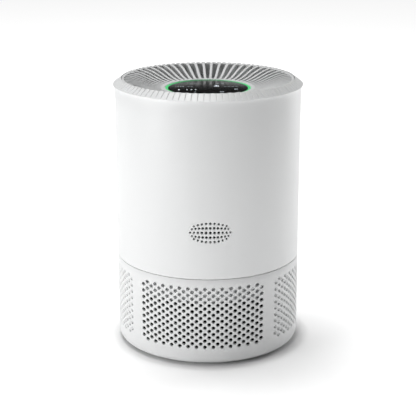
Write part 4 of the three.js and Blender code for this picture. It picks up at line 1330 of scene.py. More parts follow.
@dataclass
class Body:
    """The tall white shell, with its sensor vent, plug recess and four screw bosses."""

    room: Span = field(default_factory=lambda: span("body_shell"))
    wall: float = WALL
    edge: float = 0.35
    vent_up: float = 49.8
    vent_rows: tuple[VentRow, ...] = (
        VentRow(9, -9.8, 4.4, 0.19),
        VentRow(11, -4.95, 4.0, 0.05),
        VentRow(11, 0, 4.4, 0),
        VentRow(11, 4.95, 4.0, 0.05),
        VentRow(9, 9.8, 4.4, 0.19),
    )
    vent_half_w: float = 20.2
    vent_half_h: float = 12.8
    crowd: float = 0.015
    hole_r: float = 1.5
    edge_hole_r: float = 1.05
    recess_r: float = 6.5
    boss_r: float = 4
    boss_h: float = 26
    boss_inset: float = 8.3
    screw_r: float = SCREW_HOLE_R
    screw_l: float = 20
    web_half: float = 1.5

    def vent_holes(self) -> list[tuple[float, float, float]]:
        """x, height and radius of each hole: five rows that fill an oval."""
        middle = self.room.foot + self.vent_up
        holes = []
        for row in self.vent_rows:
            for k in range(row.count):
                step = k - (row.count - 1) / 2
                x = step * row.pitch * (1 - self.crowd * abs(step))
                up = row.up - math.copysign(row.bow * step**2, row.up)
                reach = min(1.0, math.hypot(x / self.vent_half_w, up / self.vent_half_h))
                holes.append((x, middle + up, self.hole_r + (self.edge_hole_r - self.hole_r) * reach**2))
        return holes

    def drill(self, r: float, turn: float, z: float, sides: int) -> bpy.types.Object:
        """A cutter for a hole through the wall, with a small bevel at the outside.

        Args:
            r: the hole's radius.
            turn: where it is.
            z: its height.
            sides: facets round it.

        Returns:
            The cutter.
        """
        inner = self.room.radius - self.wall - 2
        depth, over = self.wall + 2, 1.5
        flare = self.edge
        profile = [
            (0, 0),
            (r, 0),
            (r, depth - flare),
            (r + flare, depth + 0.02),
            (r + flare, depth + over),
            (0, depth + over),
        ]
        return rod("drill", around(inner, turn, z), around(inner + 10, turn, z), profile, sides)

    def boss(self, foot: float, inner: float) -> bpy.types.Object:
        """A screw boss with its web to the wall, at the front.

        Args:
            foot: height of its foot.
            inner: the wall's inner radius.

        Returns:
            The boss.
        """
        reach = inner - self.boss_inset
        tube = [
            (self.screw_r, foot),
            (self.boss_r, foot),
            (self.boss_r, foot + self.boss_h),
            (0, foot + self.boss_h),
            (0, foot + self.screw_l),
            (self.screw_r, foot + self.screw_l),
        ]
        column = upright("column", Vector((0, -reach, 0)), soften(tube, 0.4), 32)
        low = Vector((-self.web_half, -inner - 1, foot))
        high = Vector((self.web_half, -reach - self.boss_r + 1, foot + self.boss_h))
        return joined("boss", column, block("web", low, high))

    def build(self) -> None:
        """Makes the shell."""
        radius = self.room.radius
        inner = radius - self.wall
        shell = lathe("body_moulding", soften(self.room.band(inner), self.edge), 240)
        cutters = [self.drill(r, math.degrees(math.asin(x / radius)), z, 14) for x, z, r in self.vent_holes()]
        cutters.append(self.drill(self.recess_r, 180, span("dc_jack").middle.z, 48))
        carve(shell, *cutters)
        bosses = repeated(self.boss(span("fan_deck").top + CLEAR, inner), 4, 45)
        shell = smooth(joined("body_moulding", shell, *bosses), 30)
        dress(shell, SHELL_WHITE, "head", "white_shell", "body_shell")


@dataclass
class Crown:
    """The bevelled ring at the top. Narrow grooves part its bevel into soft-cornered blocks."""

    room: Span = field(default_factory=lambda: span("crown_ring"))
    wall_r: float = 95.5
    upright: float = 0.6
    bevel_h: float = 6.3
    bevel_w: float = 8.6
    notches: int = 98
    notch_depth: float = 1.15
    groove: tuple[float, ...] = (0.0, 0.22, 0.4, 0.7, 1.0)
    depths: tuple[float, ...] = (1.0, 0.9, 0.18, 0.0)
    low_end: float = 0.09
    low_ramp: float = 0.06
    high_flare: float = 0.86
    flare: float = 1.3

    def profile(self) -> Profile:
        """The ring's section, with close stations up the bevel."""
        top, radius = self.room.top, self.room.radius
        ledge = top - self.bevel_h - self.upright
        inner = radius - self.bevel_w
        stations = (0.0, 0.03, 0.07, 0.12, 0.3, 0.5, 0.7, 0.84, 0.9, 0.95, 0.98, 1.0)
        slope = [(radius - self.bevel_w * s, ledge + self.upright + self.bevel_h * s) for s in stations]
        return [
            (inner, self.room.foot),
            (self.wall_r - 0.4, self.room.foot),
            (self.wall_r, self.room.foot + 0.6),
            (self.wall_r, ledge),
            (radius - 0.2, ledge),
            (radius, ledge + 0.2),
            *slope,
            (inner, top - 0.6),
            (inner, top - 2.2),
        ]

    def build(self) -> None:
        """Turns the ring, then sinks the grooves."""
        half = len(self.groove)
        columns = 2 * half
        ring = lathe("crown_moulding", self.profile(), self.notches * columns)
        radius, inner = self.room.radius, self.room.radius - self.bevel_w
        ledge = self.room.top - self.bevel_h - self.upright
        pitch = 360 / self.notches
        marks = [*self.groove, math.radians(pitch / 2) * radius]

        def sink(p: Vector) -> Vector:
            """Gathers the columns round their groove and lowers those that lie in it."""
            r = p.xy.length
            column = round(math.degrees(math.atan2(p.x, -p.y)) / pitch * columns)
            block_no, step = divmod(column + half, columns)
            step -= half
            share = smoothstep(inner, radius, r)
            slope = (radius - r) / self.bevel_w
            on_bevel = p.z > ledge + 0.1 and r < radius - 0.01
            offset = math.copysign(marks[abs(step)], step)
            if 0 < abs(step) < half:
                offset *= 1 + self.flare * smoothstep(self.high_flare, 1.0, slope)
            squeeze = (radius + (inner - radius) * (1 - share)) / radius if abs(step) < half else 1
            place = around(r, block_no * pitch + math.degrees(offset / radius) / squeeze, p.z)
            if on_bevel and abs(step) < half - 1 and slope > 0:
                sink_share = smoothstep(self.low_end, self.low_end + self.low_ramp, slope)
                place.z -= self.notch_depth * self.depths[abs(step)] * sink_share
            return place

        move_points(ring, sink)
        smooth(ring, 35)
        dress(ring, SHELL_WHITE, "head", "white_shell", "crown_ring")


@dataclass
class Grille:
    """The dished outlet in one moulding: a rim, radial ribs and the ring round the touch panel."""

    room: Span = field(default_factory=lambda: span("outlet_grille"))
    ribs: int = 60
    first_rib: float = 1.9
    rib_t: float = 2.8
    rib_depth: float = 9
    dish_depth: float = 10.7
    centre_in: float = 45.3
    centre_wall: float = 4.7
    centre_h: float = 10
    rim_wall: float = WALL
    lip_w: float = 3.8
    rim_drop: float = 1
    rim_blend: float = 5
    rib_sink: float = 0.12
    rib_overlap: float = 1.2
    rib_steps: int = 14
    draft: float = 0.22

    @property
    def screw_ring(self) -> float:
        """Radius that the panel's screws lie on."""
        return self.centre_in + self.centre_wall / 2

    def height(self, r: float) -> float:
        """Height of a rib's top edge at a radius."""
        crown_top = span("crown_ring").top
        flat = crown_top - self.dish_depth
        curve_r = self.room.radius - self.lip_w
        share = smoothstep(self.centre_in + self.centre_wall, curve_r, r)
        rim = smoothstep(curve_r - self.rim_blend, self.room.radius, r)
        return flat + (self.dish_depth - self.rim_drop) * share + self.rim_drop / 2 * rim

    def rib(self) -> bpy.types.Object:
        """One rib at the front, with rounded upper edges and a thinner foot, as the mould draws it."""
        start = self.centre_in + self.centre_wall - self.rib_overlap
        end = self.room.radius - self.rim_wall / 2
        radii = [start + (end - start) * k / self.rib_steps for k in range(self.rib_steps + 1)]
        top = [(r, self.height(r) - self.rib_sink) for r in radii]
        low = [(r, self.height(r) - self.rib_depth) for r in reversed(radii)]
        piece = plate("rib", top + low, self.rib_t)
        bevel(piece, 0.4, 3, 60)

        def thinned(p: Vector) -> Vector:
            """Thins the rib towards its foot."""
            down = (self.height(-p.y) - p.z) / self.rib_depth
            return Vector((p.x * (1 - self.draft * min(1, max(0, down))), p.y, p.z))

        move_points(piece, thinned)
        return piece

    def build(self) -> None:
        """Makes the moulding."""
        radius, top = self.room.radius, self.height(self.room.radius)
        rim_section = band(radius - self.rim_wall, radius, span("fan_duct").top + CLEAR, top)
        out_r = self.centre_in + self.centre_wall
        flat = self.height(out_r)
        low = flat - self.centre_h
        rim = lathe("rim", soften(rim_section, 0.6), 240)
        centre = lathe("centre", soften(band(self.centre_in, out_r, low, flat), 0.7), 180)
        section = band(0, SCREW_HOLE_R, -1, 6)
        holes = [upright("hole", around(self.screw_ring, 120 * k, low), section) for k in range(3)]
        carve(centre, *holes)
        grille = joined("dish_grille", rim, centre, *repeated(self.rib(), self.ribs, self.first_rib))
        smooth(grille, 45)
        dress(grille, SHELL_WHITE, "head", "white_shell", "outlet_grille")


# ---------------------------------------------------------------- touch panel


@dataclass
class TouchPanel:
    """The lens with its lit symbols, the green light guide round it, and the cup that holds them."""

    lens: Span = field(default_factory=lambda: span("display_lens"))
    guide: Span = field(default_factory=lambda: span("light_ring"))
    guide_w: float = 2.4
    mark_t: float = 0.04
    cup_inset: float = 3.3
    cup_wall: float = 1.8
    cup_floor: float = 2
    peg_r: float = 3
    peg_inset: float = 6

    def build(self) -> None:
        """Makes the panel's pieces."""
        glass = turned("touch_lens", self.lens.band(0), 0.45, 120, 4)
        dress(glass, LENS_BLACK, "head", "black_gloss", "display_lens")
        light = turned("light_guide", self.guide.band(self.guide.radius - self.guide_w), 0.5, 160, 4)
        dress(light, LIGHT_GREEN, "head", "light_green", "light_ring")
        self.symbols()
        self.tray()

    def lay(self, piece: bpy.types.Object, x: float, y: float) -> bpy.types.Object:
        """Places a symbol on the lens."""
        return moved(piece, Vector((x, y, self.lens.top)))

    def dot(self, x: float, y: float, r: float) -> bpy.types.Object:
        """A round dot."""
        return self.lay(lathe("dot", band(0, r, -self.mark_t, self.mark_t), 24), x, y)

    def bar(self, x: float, y: float, w: float, h: float, turn: float = 0) -> bpy.types.Object:
        """A short bar, turned about its middle."""
        t = self.mark_t
        piece = block("bar", Vector((-w / 2, -h / 2, -t)), Vector((w / 2, h / 2, t)), 0)
        piece.data.transform(turned_by(turn))
        return self.lay(piece, x, y)

    def hoop(
        self, x: float, y: float, r: float, wide: float, turns: tuple[float, float] | None = None
    ) -> bpy.types.Object:
        """A thin ring, or the part of one between two turns."""
        section = band(r - wide / 2, r + wide / 2, -self.mark_t, self.mark_t)
        piece = sector("hoop", section, *turns, 18) if turns else lathe("hoop", section, 32)
        return self.lay(piece, x, y)

    def symbols(self) -> None:
        """Generic touch symbols: power, speed bars, night, filter, timer dots."""
        power = [self.hoop(9.0, 8.2, 2.5, 0.8, (215, 505)), self.bar(9.0, 10.4, 0.8, 2.8)]
        dots = [self.dot(x, -11.5, 0.85) for x in (-22.3, -17.6, -13.2)]
        bright = joined("bright_symbols", *power, *dots, self.dot(-30.7, -11.5, 1.1))
        dress(bright, MARK_WHITE, "head", None)
        bars = [self.bar(-34 + 2.6 * k, 5.4 + 0.35 * k, 1.0, 1.6 + 0.7 * k) for k in range(4)]
        dashes = [self.bar(-20.5 + 3.4 * k, 5.8, 2.2, 0.7) for k in range(2)]
        dashes += [self.bar(18.5 + 3.9 * k, 5.2, 2.6, 0.8) for k in range(4)]
        night = [self.hoop(30.0, -9.8, 2.3, 1.0, (20, 250))]
        upper = [self.bar(x, 22.4, 3.0, 0.7) for x in (-17.6, -13.2, 11.4, 15.8)]
        lower = [self.hoop(14.0, -23.4, 1.9, 0.6), self.bar(14.0, -23.4, 0.5, 1.6)]
        lower.append(self.dot(-13.8, -24.5, 0.8))
        dim = joined("dim_symbols", *bars, *dashes, *night, *upper, *lower)
        dress(dim, MARK_DIM, "head", None)

    def tray(self) -> None:
        """The cup below the lens, with its flange, pegs and holes."""
        room = span("panel_tray")
        guide_foot = self.guide.foot - CLEAR
        flange_top = span("outlet_grille").foot - CLEAR
        flange_r, step_r = room.radius, self.lens.radius
        screw_ring = Grille().screw_ring
        cup_r = screw_ring - self.cup_inset
        profile = [
            (0, room.foot),
            (cup_r, room.foot),
            (cup_r, flange_top - WALL),
            (flange_r, flange_top - WALL),
            (flange_r, flange_top),
            (self.guide.radius, flange_top),
            (self.guide.radius, guide_foot),
            (step_r, guide_foot),
            (step_r, room.top),
            (step_r - self.cup_wall, room.top),
            (step_r - self.cup_wall, room.foot + self.cup_floor),
            (0, room.foot + self.cup_floor),
        ]
        cup = lathe("panel_cup", soften(profile, 0.4), 120)
        board = span("control_board")
        peg = band(0, self.peg_r, room.foot + 1.5, board.foot + 1.7)
        pegs = [upright("peg", around(board.radius - self.peg_inset, 120 * k), peg) for k in range(3)]
        hole = band(0, SCREW_HOLE_R, -4, 1)
        carve(cup, *(upright("hole", around(screw_ring, 120 * k, flange_top), hole) for k in range(3)))
        cup = smooth(joined("panel_cup", cup, *pegs))
        dress(cup, INNER_WHITE, "head", "inner_white", "panel_tray")


# ---------------------------------------------------------------- filter


@dataclass
class Filter:
    """The ring filter: two potted caps, a folded paper, a felt of carbon and a net over all."""

    lower: Span = field(default_factory=lambda: span("filter_bottom_cap"))
    upper: Span = field(default_factory=lambda: span("filter_top_cap"))
    paper: Span = field(default_factory=lambda: span("filter_media"))
    bore_r: float = 46.5
    cap_t: float = 3
    rim_wall: float = 1.5
    pleats: int = 110
    paper_t: float = 0.45
    groove_r: float = 7
    groove_half: float = 1
    groove_depth: float = 0.6
    felt_step: float = 4
    net_t: float = 1.8
    seam_turn: float = 62
    seam_half: float = 3

    def build(self) -> None:
        """Makes the filter's pieces."""
        self.caps()
        self.media()
        self.layers()
        tab = refined("pull_tab", 0.15)
        smooth(tab)
        dress(tab, TAB_TAPE, "filter", "tab_fabric", "pull_tab")
        foam = turned("foam_seal", span("seal_ring").band(self.bore_r + 0.5), 1.0, 96, 4)
        dress(foam, SEAL_FOAM, "seal", "foam_rubber", "seal_ring")

    def caps(self) -> None:
        """The two caps, trays with a low rim."""
        foot, rim, r = self.lower.foot, self.lower.top, self.lower.radius
        middle = r - self.groove_r
        tray = [
            (0, foot),
            (middle - self.groove_half, foot),
            (middle, foot + self.groove_depth),
            (middle + self.groove_half, foot),
            (r, foot),
            (r, rim),
            (r - self.rim_wall, rim),
            (r - self.rim_wall, foot + self.cap_t),
            (0, foot + self.cap_t),
        ]
        low = turned("lower_cap", tray, 0.4, 120)
        dress(low, DARK_PLASTIC, "filter", "dark_plastic", "filter_bottom_cap")
        top, rim = self.upper.top, self.upper.foot
        lid = [
            (self.bore_r, top),
            (self.bore_r, top - self.cap_t),
            (r - self.rim_wall, top - self.cap_t),
            (r - self.rim_wall, rim),
            (r, rim),
            (r, top),
            (middle + self.groove_half, top),
            (middle, top - self.groove_depth),
            (middle - self.groove_half, top),
        ]
        high = turned("upper_cap", lid, 0.4, 120)
        dress(high, DARK_PLASTIC, "filter", "dark_plastic", "filter_top_cap")

    def media(self) -> None:
        """One folded sheet: a closed zigzag line raised to a wall, then given the paper's thickness."""
        out_r, in_r = self.paper.radius - 0.4, span("carbon_layer").radius + 0.7
        tip = 360 / self.pleats / 12
        points = []
        for k in range(self.pleats):
            crest = 360 / self.pleats * k
            for r, middle in ((out_r, crest), (in_r, crest + 180 / self.pleats)):
                points += [around(r, middle + side, self.paper.foot) for side in (-tip, tip)]
        sheet = outline("pleated_sheet", points)
        height = (self.paper.top - self.paper.foot) * MM
        with editing(sheet, "EDGE"):
            bpy.ops.mesh.extrude_edges_move(TRANSFORM_OT_translate={"value": (0, 0, height)})
        tidy(sheet)
        apply(sheet, "SOLIDIFY", thickness=self.paper_t * MM, offset=0.0)
        smooth(sheet)
        dress(sheet, FILTER_PAPER, "filter", "filter_paper", "filter_media")

    def layers(self) -> None:
        """The carbon felt inside the paper, and the net outside it."""
        felt = turned("carbon_felt_sleeve", span("carbon_layer").band(self.bore_r + self.felt_step), 0.8, 96)
        dress(felt, CARBON_FELT, "filter", "carbon_fabric", "carbon_layer")
        net = span("prefilter_mesh")
        sleeve = lathe("net_sleeve", soften(net.band(net.radius - self.net_t), 0.6), 144)
        low = Vector((-self.seam_half, -net.radius - 0.12, net.foot + CLEAR))
        high = Vector((self.seam_half, -net.radius + 1, net.top - CLEAR))
        seam = block("seam", low, high)
        seam.data.transform(turned_by(self.seam_turn))
        sleeve = smooth(joined("net_sleeve", sleeve, seam))
        dress(sleeve, MESH_NET, "filter", "mesh_fabric", "prefilter_mesh")


# ---------------------------------------------------------------- screws and catches


class Pointing(Enum):
    """Which way a screw points."""

    UP = "up"
    INWARDS = "inwards"


@dataclass
class Screws:
    """One kind of pan-head screw with a cross recess, and where its copies go.

    Args:
        node: the CAD nodes' name without their number.
        count: how many there are.
        pointing: which way they point.
        seat_r: radius that the heads of lying screws rest on.
        lying_length: shank length of lying screws.
    """

    node: str
    count: int
    pointing: Pointing
    seat_r: float = 0
    lying_length: float = 0
    shank_r: float = 1.5
    head_r: float = 3.0
    head_h: float = 2.2
    thread: float = 1.0
    thread_depth: float = 0.3
    plain_end: float = 0.6
    slot_half: tuple[float, float] = (1.7, 0.3)

    def model(self, length: float) -> bpy.types.Object:
        """One screw that points along +Z from the underside of its head.

        Args:
            length: length of its shank.

        Returns:
            The screw.
        """
        root = self.shank_r - self.thread_depth
        teeth = []
        for k in range(int((length - 2 * self.plain_end) / self.thread)):
            z = self.plain_end + k * self.thread
            teeth += [(root, z), (self.shank_r, z + self.thread / 2)]
        profile = [
            (0, -self.head_h),
            (self.head_r * 0.45, -self.head_h),
            (self.head_r * 0.82, -self.head_h * 0.82),
            (self.head_r, -self.head_h * 0.35),
            (self.head_r, 0),
            (root, 0.01),
            *teeth,
            (root, length - self.plain_end),
            (0.4, length),
            (0, length),
        ]
        screw = lathe("screw", profile, 24)
        x, y = self.slot_half
        for turn in (0, 90):
            slot = block("slot", Vector((-x, -y, -self.head_h - 1)), Vector((x, y, -self.head_h + 1)), 0)
            slot.data.transform(turned_by(turn))
            carve(screw, slot)
        return screw

    def build(self) -> None:
        """Places the copies where the CAD screws are."""
        first = span(f"{self.node}_1")
        lying = self.pointing is Pointing.INWARDS
        master = self.model(self.lying_length if lying else first.top - first.foot - self.head_h)
        for k in range(1, self.count + 1):
            room = span(f"{self.node}_{k}")
            place = Matrix.Translation((room.stand + Vector((0, 0, room.foot + self.head_h))) * MM)
            if lying:
                out = room.stand.normalized()
                seat = out * self.seat_r + Vector((0, 0, room.middle.z))
                place = Matrix.Translation(seat * MM) @ (-out).to_track_quat("Z", "Y").to_matrix().to_4x4()
            copy = twin(master, place)
            copy.name = f"{self.node}_{k}_cross"
            smooth(copy)
            dress(copy, ZINC_PLATE, "head", "zinc_steel", f"{self.node}_{k}")
        bpy.data.objects.remove(master)


SCREWS = (
    Screws("deck_screw", 4, Pointing.UP),
    Screws("motor_screw", 3, Pointing.UP),
    Screws("tray_screw", 3, Pointing.UP),
    Screws("duct_screw", 3, Pointing.INWARDS, seat_r=82.3, lying_length=5),
)


# ---------------------------------------------------------------- deck, air path and fan


@dataclass
class Deck:
    """The head's floor: a plate with the inlet, a skirt inside the base, and the lock catches."""

    room: Span = field(default_factory=lambda: span("fan_deck"))
    plate_t: float = WALL
    wall: float = WALL
    lip: float = 1.1
    lip_foot: float = 96.1
    catch_w: float = 10
    catch_turn: float = 39.2
    window_low: float = 74.1
    window_high: float = 81.3
    window_inset: float = 0.2
    pin_r: float = 2.1

    def build(self) -> None:
        """Makes the deck and the catches."""
        out_r, top = self.room.radius, self.room.top
        skirt_r = out_r - self.lip
        under = top - self.plate_t
        profile = [
            (skirt_r, self.room.foot),
            (skirt_r, self.lip_foot),
            (out_r, self.lip_foot),
            (out_r, top),
            (INLET_R, top),
            (INLET_R, under),
            (skirt_r - self.wall, under),
            (skirt_r - self.wall, self.room.foot),
        ]
        deck = lathe("deck_moulding", soften(profile, 0.45), 180)
        half = self.catch_w / 2 - self.window_inset
        low = Vector((-half, -skirt_r - 2, self.window_low))
        high = Vector((half, -skirt_r + self.wall + 2, self.window_high))
        windows = repeated(block("window", low, high, 0), 4, self.catch_turn)
        holes = [(f"deck_screw_{k}", SCREW_HOLE_R) for k in range(1, 5)] + [("interlock_plunger", self.pin_r)]
        drills = [upright("drill", span(node).stand, band(0, r, top - 4, top + 1), 28) for node, r in holes]
        carve(deck, *windows, *drills)
        smooth(deck)
        dress(deck, INNER_WHITE, "head", "inner_white", "fan_deck")
        for k in range(1, 5):
            catch = smooth(refined(f"lock_catch_{k}", 0.35))
            dress(catch, INNER_WHITE, "head", "inner_white", f"lock_catch_{k}")

def motor_drills(low: float, high: float) -> list[bpy.types.Object]:
    """Cutters for the three motor screws between two heights."""
    section = band(0, SCREW_HOLE_R, low, high)
    return [upright("drill", span(f"motor_screw_{k}").stand, section) for k in range(1, 4)]


@dataclass
class AirPath:
    """The guard and bell below the fan, the duct round it, and the bracket that holds the motor."""

    duct: Span = field(default_factory=lambda: span("fan_duct"))
    bell: Span = field(default_factory=lambda: span("inlet_bell"))
    bracket: Span = field(default_factory=lambda: span("motor_bracket"))
    guard: Span = field(default_factory=lambda: span("inlet_guard"))
    duct_r: float = 82
    wall: float = WALL
    flare_h: float = 16
    cup_r: float = 31
    bearing_r: float = 7.6
    bar_half: float = 0.8
    spokes: int = 6
    guard_hub_r: float = 5
    panel_way_r: float = 2.6
    panel_way_drop: float = 10.6
    vane_t: float = 2
    vanes: int = 5
    screw_turns: tuple[float, ...] = (30, 150, 270)

    def build(self) -> None:
        """Makes the four pieces."""
        self.make_guard()
        self.make_bell()
        self.make_duct()
        self.make_bracket()

    def make_guard(self) -> None:
        """Spokes and two hoops across the inlet, with rounded bars."""
        rim_in, foot, top, half = INLET_R + 3, self.guard.foot, self.guard.top, self.bar_half
        parts = [lathe("rim", soften(self.guard.band(rim_in), 0.4), 120)]
        for r in (rim_in / 3, rim_in * 2 / 3):
            parts.append(lathe("hoop", soften(band(r - half, r + half, foot, top), 0.5), 96))
        bar = block("bar", Vector((-half, -rim_in - 1, foot)), Vector((half, -3, top)), 0.45)
        parts += repeated(bar, self.spokes)
        parts.append(lathe("hub", soften(band(0, self.guard_hub_r, foot, top), 0.5), 48))
        guard = smooth(joined("guard_moulding", *parts))
        dress(guard, INNER_WHITE, "head", "inner_white", "inlet_guard")

    def make_bell(self) -> None:
        """The inlet's mouth: a flange that curves up into a lip."""
        foot, top, outer = self.bell.foot, self.bell.top, self.bell.radius
        lip_r, thick = INLET_R + 0.5, 2.0
        ledge = foot + thick
        mouth = ((0, 0), (0.05, 3), (0.6, 5.2), (2.0, 7.4), (4.6, 8.8))
        back = ((9.2, 0), (6.4, 0.5), (4.2, 1.8), (2.7, 3.8))
        profile = [
            *((lip_r + out, top - down) for out, down in mouth),
            (lip_r + 8, foot),
            (outer, foot),
            (outer, ledge),
            *((lip_r + out, ledge + up) for out, up in back),
            (lip_r + thick, top - 2.4),
            (lip_r + thick, top),
        ]
        bell = smooth(lathe("bell_moulding", profile, 120))
        dress(bell, INNER_WHITE, "head", "inner_white", "inlet_bell")

    def make_duct(self) -> None:
        """The tube that widens to the outlet, with a round lip and its holes."""
        foot, top = self.duct.foot, self.duct.top
        bend, top_r = top - self.flare_h, self.duct.radius
        inner = self.duct_r - self.wall
        soft, steps = 0.3, 8
        widening = top_r - self.duct_r
        outside = [
            (self.duct_r + widening * smoothstep(0, 1, k / steps), bend + (self.flare_h - 2) * (k / steps))
            for k in range(steps + 1)
        ]
        profile = [
            (self.duct_r, foot),
            *outside,
            (top_r, top - soft),
            (top_r - soft, top),
            (top_r - self.wall + soft, top),
            (top_r - self.wall, top - soft),
            *((r - self.wall, z) for r, z in reversed(outside)),
            (inner, foot),
        ]
        duct = lathe("duct_moulding", profile, 150)
        lead_z = span("motor_lead").middle.z
        way = band(0, LEAD_HOLE_R, -4, 6)
        panel_x = span("panel_lead").middle.x
        way_z = span("panel_tray").foot - self.panel_way_drop
        start, end = Vector((panel_x, self.duct_r + 1, way_z - 2)), Vector((panel_x, 0, way_z + 28))
        carve(
            duct,
            *self.side_drills(self.duct_r, -3, 6),
            rod("way", Vector((0, self.duct_r, lead_z)), Vector((0, 0, lead_z)), way),
            rod("way", start, end, band(0, self.panel_way_r, -5, 9)),
        )
        smooth(duct)
        dress(duct, INNER_WHITE, "head", "inner_white", "fan_duct")

    def side_drills(self, r: float, start: float, end: float) -> list[bpy.types.Object]:
        """Cutters for the duct's screws, which point inwards from a radius."""
        z = span("duct_screw_1").middle.z
        section = band(0, SCREW_HOLE_R, start, end)
        return [rod("drill", around(r, turn, z), around(0, turn, z), section) for turn in self.screw_turns]

    def make_bracket(self) -> None:
        """The motor's cup, the vanes and the rim."""
        foot, top, rim_r = self.bracket.foot, self.bracket.top, self.bracket.radius
        rim_in = rim_r - self.wall
        out = self.cup_r + self.wall
        hole = self.bearing_r + 1.5
        section = [
            (hole, foot),
            (out, foot),
            (out, top),
            (self.cup_r, top),
            (self.cup_r, foot + self.wall),
            (hole, foot + self.wall),
        ]
        cup = lathe("cup", soften(section, 0.5), 96)
        carve(cup, *motor_drills(foot - 1, foot + 4))
        rim = lathe("rim", soften(self.bracket.band(rim_in), 0.5), 144)
        carve(rim, *self.side_drills(rim_r, -6, 8))
        low = Vector((-self.vane_t / 2, -rim_in - 1, foot + 1))
        high = Vector((self.vane_t / 2, -self.cup_r - 1, top))
        vanes = repeated(block("vane", low, high, 0.6), self.vanes, 180 / self.vanes)
        bracket = smooth(joined("bracket_moulding", cup, rim, *vanes))
        dress(bracket, INNER_WHITE, "head", "inner_white", "motor_bracket")


@dataclass
class Fan:
    """The impeller with its swept blades, and the nut that holds it."""

    room: Span = field(default_factory=lambda: span("impeller"))
    shaft: Span = field(default_factory=lambda: span("motor_shaft"))
    plate_t: float = WALL
    hub_r: float = 9
    hub_up: float = 2.5
    hub_down: float = 7
    eye_r: float = 51.5
    blades: int = 7
    blade_t: float = 2
    blade_step: float = 8
    blade_steps: int = 12
    sweep: float = 34

    def blade(self, foot: float, top: float) -> bpy.types.Object:
        """One blade, thinner at both ends, curved back from the eye to the rim."""
        start, end = INLET_R + self.blade_step, self.room.radius - 0.5
        steps = self.blade_steps

        def line(side: float) -> list[Vector]:
            """One face of the blade."""
            points = []
            for k in range(steps + 1):
                share = k / steps
                r = start + (end - start) * share
                half = self.blade_t / 2 * (0.5 + 0.5 * math.sin(math.pi * (0.1 + 0.8 * share)))
                turn = -self.sweep * share * (1.3 - 0.3 * share) + side * math.degrees(half / r)
                points.append(around(r, turn, foot))
            return points

        return prism("blade", [*line(-1), *reversed(line(1))], Vector((0, 0, top - foot)))

    def build(self) -> None:
        """Makes the impeller, the shaft and the nut."""
        foot, radius = self.room.foot, self.room.radius
        top = self.room.top - self.hub_up
        under = top - self.plate_t
        bore = self.shaft.radius + CLEAR
        plate_section = [
            (bore, under - self.hub_down),
            (self.hub_r, under - self.hub_down),
            (self.hub_r, under),
            (radius, under),
            (radius, top),
            (self.hub_r, top),
            (self.hub_r, self.room.top),
            (bore, self.room.top),
        ]
        eye = self.eye_r
        shroud_section = [
            (eye, foot),
            (eye + 2, foot),
            (eye + 4.5, foot + 4.5),
            (radius, foot + 11),
            (radius, foot + 13.5),
            (eye + 3, foot + 6.5),
            (eye, foot + 2),
        ]
        plate_piece = lathe("plate", soften(plate_section, 0.6), 120)
        shroud = lathe("shroud", soften(shroud_section, 2.0, 4), 120)
        blades = repeated(self.blade(foot + 10.5, top - self.plate_t / 2), self.blades)
        impeller = smooth(joined("impeller_moulding", plate_piece, shroud, *blades))
        dress(impeller, DARK_PLASTIC, "fan", "dark_plastic", "impeller")
        shaft = turned("ground_shaft", self.shaft.band(0), 0.5, 48)
        dress(shaft, MOTOR_STEEL, "fan", "motor_steel", "motor_shaft")
        nut = lathe("hex_nut", span("impeller_nut").band(bore), 6)
        bevel(nut, 0.35, angle=30)
        smooth(nut, 25)
        dress(nut, ZINC_PLATE, "fan", "zinc_steel", "impeller_nut")


@dataclass
class Motor:
    """The motor: can, winding, rotor and bearings, and the domed cap over it."""

    can: Span = field(default_factory=lambda: span("motor_can"))
    cover: Span = field(default_factory=lambda: span("motor_cover"))
    wall: float = 2
    cover_wall: float = WALL
    dome_round: float = 14
    winding_w: float = 7.5

    def build(self) -> None:
        """Makes the motor's pieces."""
        foot, top, r = self.can.foot, self.can.top, self.can.radius
        hole = span("bearing_lower").radius + CLEAR
        inner = r - self.wall - 0.6
        section = [*band(hole, r, foot, top), *reversed(band(hole, inner, foot + self.wall, top - self.wall))]
        can = lathe("drawn_can", soften(section, 1.2, 4), 96)
        carve(can, *motor_drills(foot - 1, foot + 3))
        dress(smooth(can), MOTOR_STEEL, "head", "motor_steel", "motor_can")
        self.rings()
        self.dome()

    def rings(self) -> None:
        """The winding, the rotor and the two bearings."""
        bore = span("motor_shaft").radius + CLEAR
        stator, rotor = span("motor_stator"), span("motor_rotor")
        winding = turned("wound_stator", stator.band(stator.radius - self.winding_w), 1.0, 72)
        dress(winding, COPPER_WIRE, "head", "copper_winding", "motor_stator")
        magnet = turned("ring_magnet", rotor.band(bore), 1.0, 72)
        dress(magnet, MAGNET_IRON, "fan", "magnet_iron", "motor_rotor")
        for node in ("bearing_lower", "bearing_upper"):
            room = span(node)
            r = room.radius
            side = [(bore, 0), (bore + 1.2, 0), (bore + 1.4, 0.5), (r - 1.4, 0.5), (r - 1.2, 0), (r, 0)]
            race = [(x, room.foot + z) for x, z in side] + [(x, room.top - z) for x, z in reversed(side)]
            dress(smooth(lathe(f"{node}_race", race, 64)), MOTOR_STEEL, "head", "motor_steel", node)

    def dome(self) -> None:
        """The cap that keeps dust off the motor."""
        r, foot, top = self.cover.radius, self.cover.foot, self.cover.top
        wall, bend = self.cover_wall, self.dome_round
        centre_r, centre_z = r - bend, top - bend
        profile = [
            (r - wall, foot),
            (r, foot),
            *arc(centre_r, centre_z, bend, 0, 90, 9),
            (0, top),
            (0, top - wall),
            *reversed(arc(centre_r, centre_z, bend - wall, 0, 90, 9)),
        ]
        dome = lathe("motor_dome", profile, 96)
        z = span("motor_lead").middle.z
        carve(dome, rod("way", Vector((0, r, z)), Vector((0, 0, z)), band(0, LEAD_HOLE_R, -6, 8)))
        dress(smooth(dome), INNER_WHITE, "head", "inner_white", "motor_cover")


# ---------------------------------------------------------------- electronics


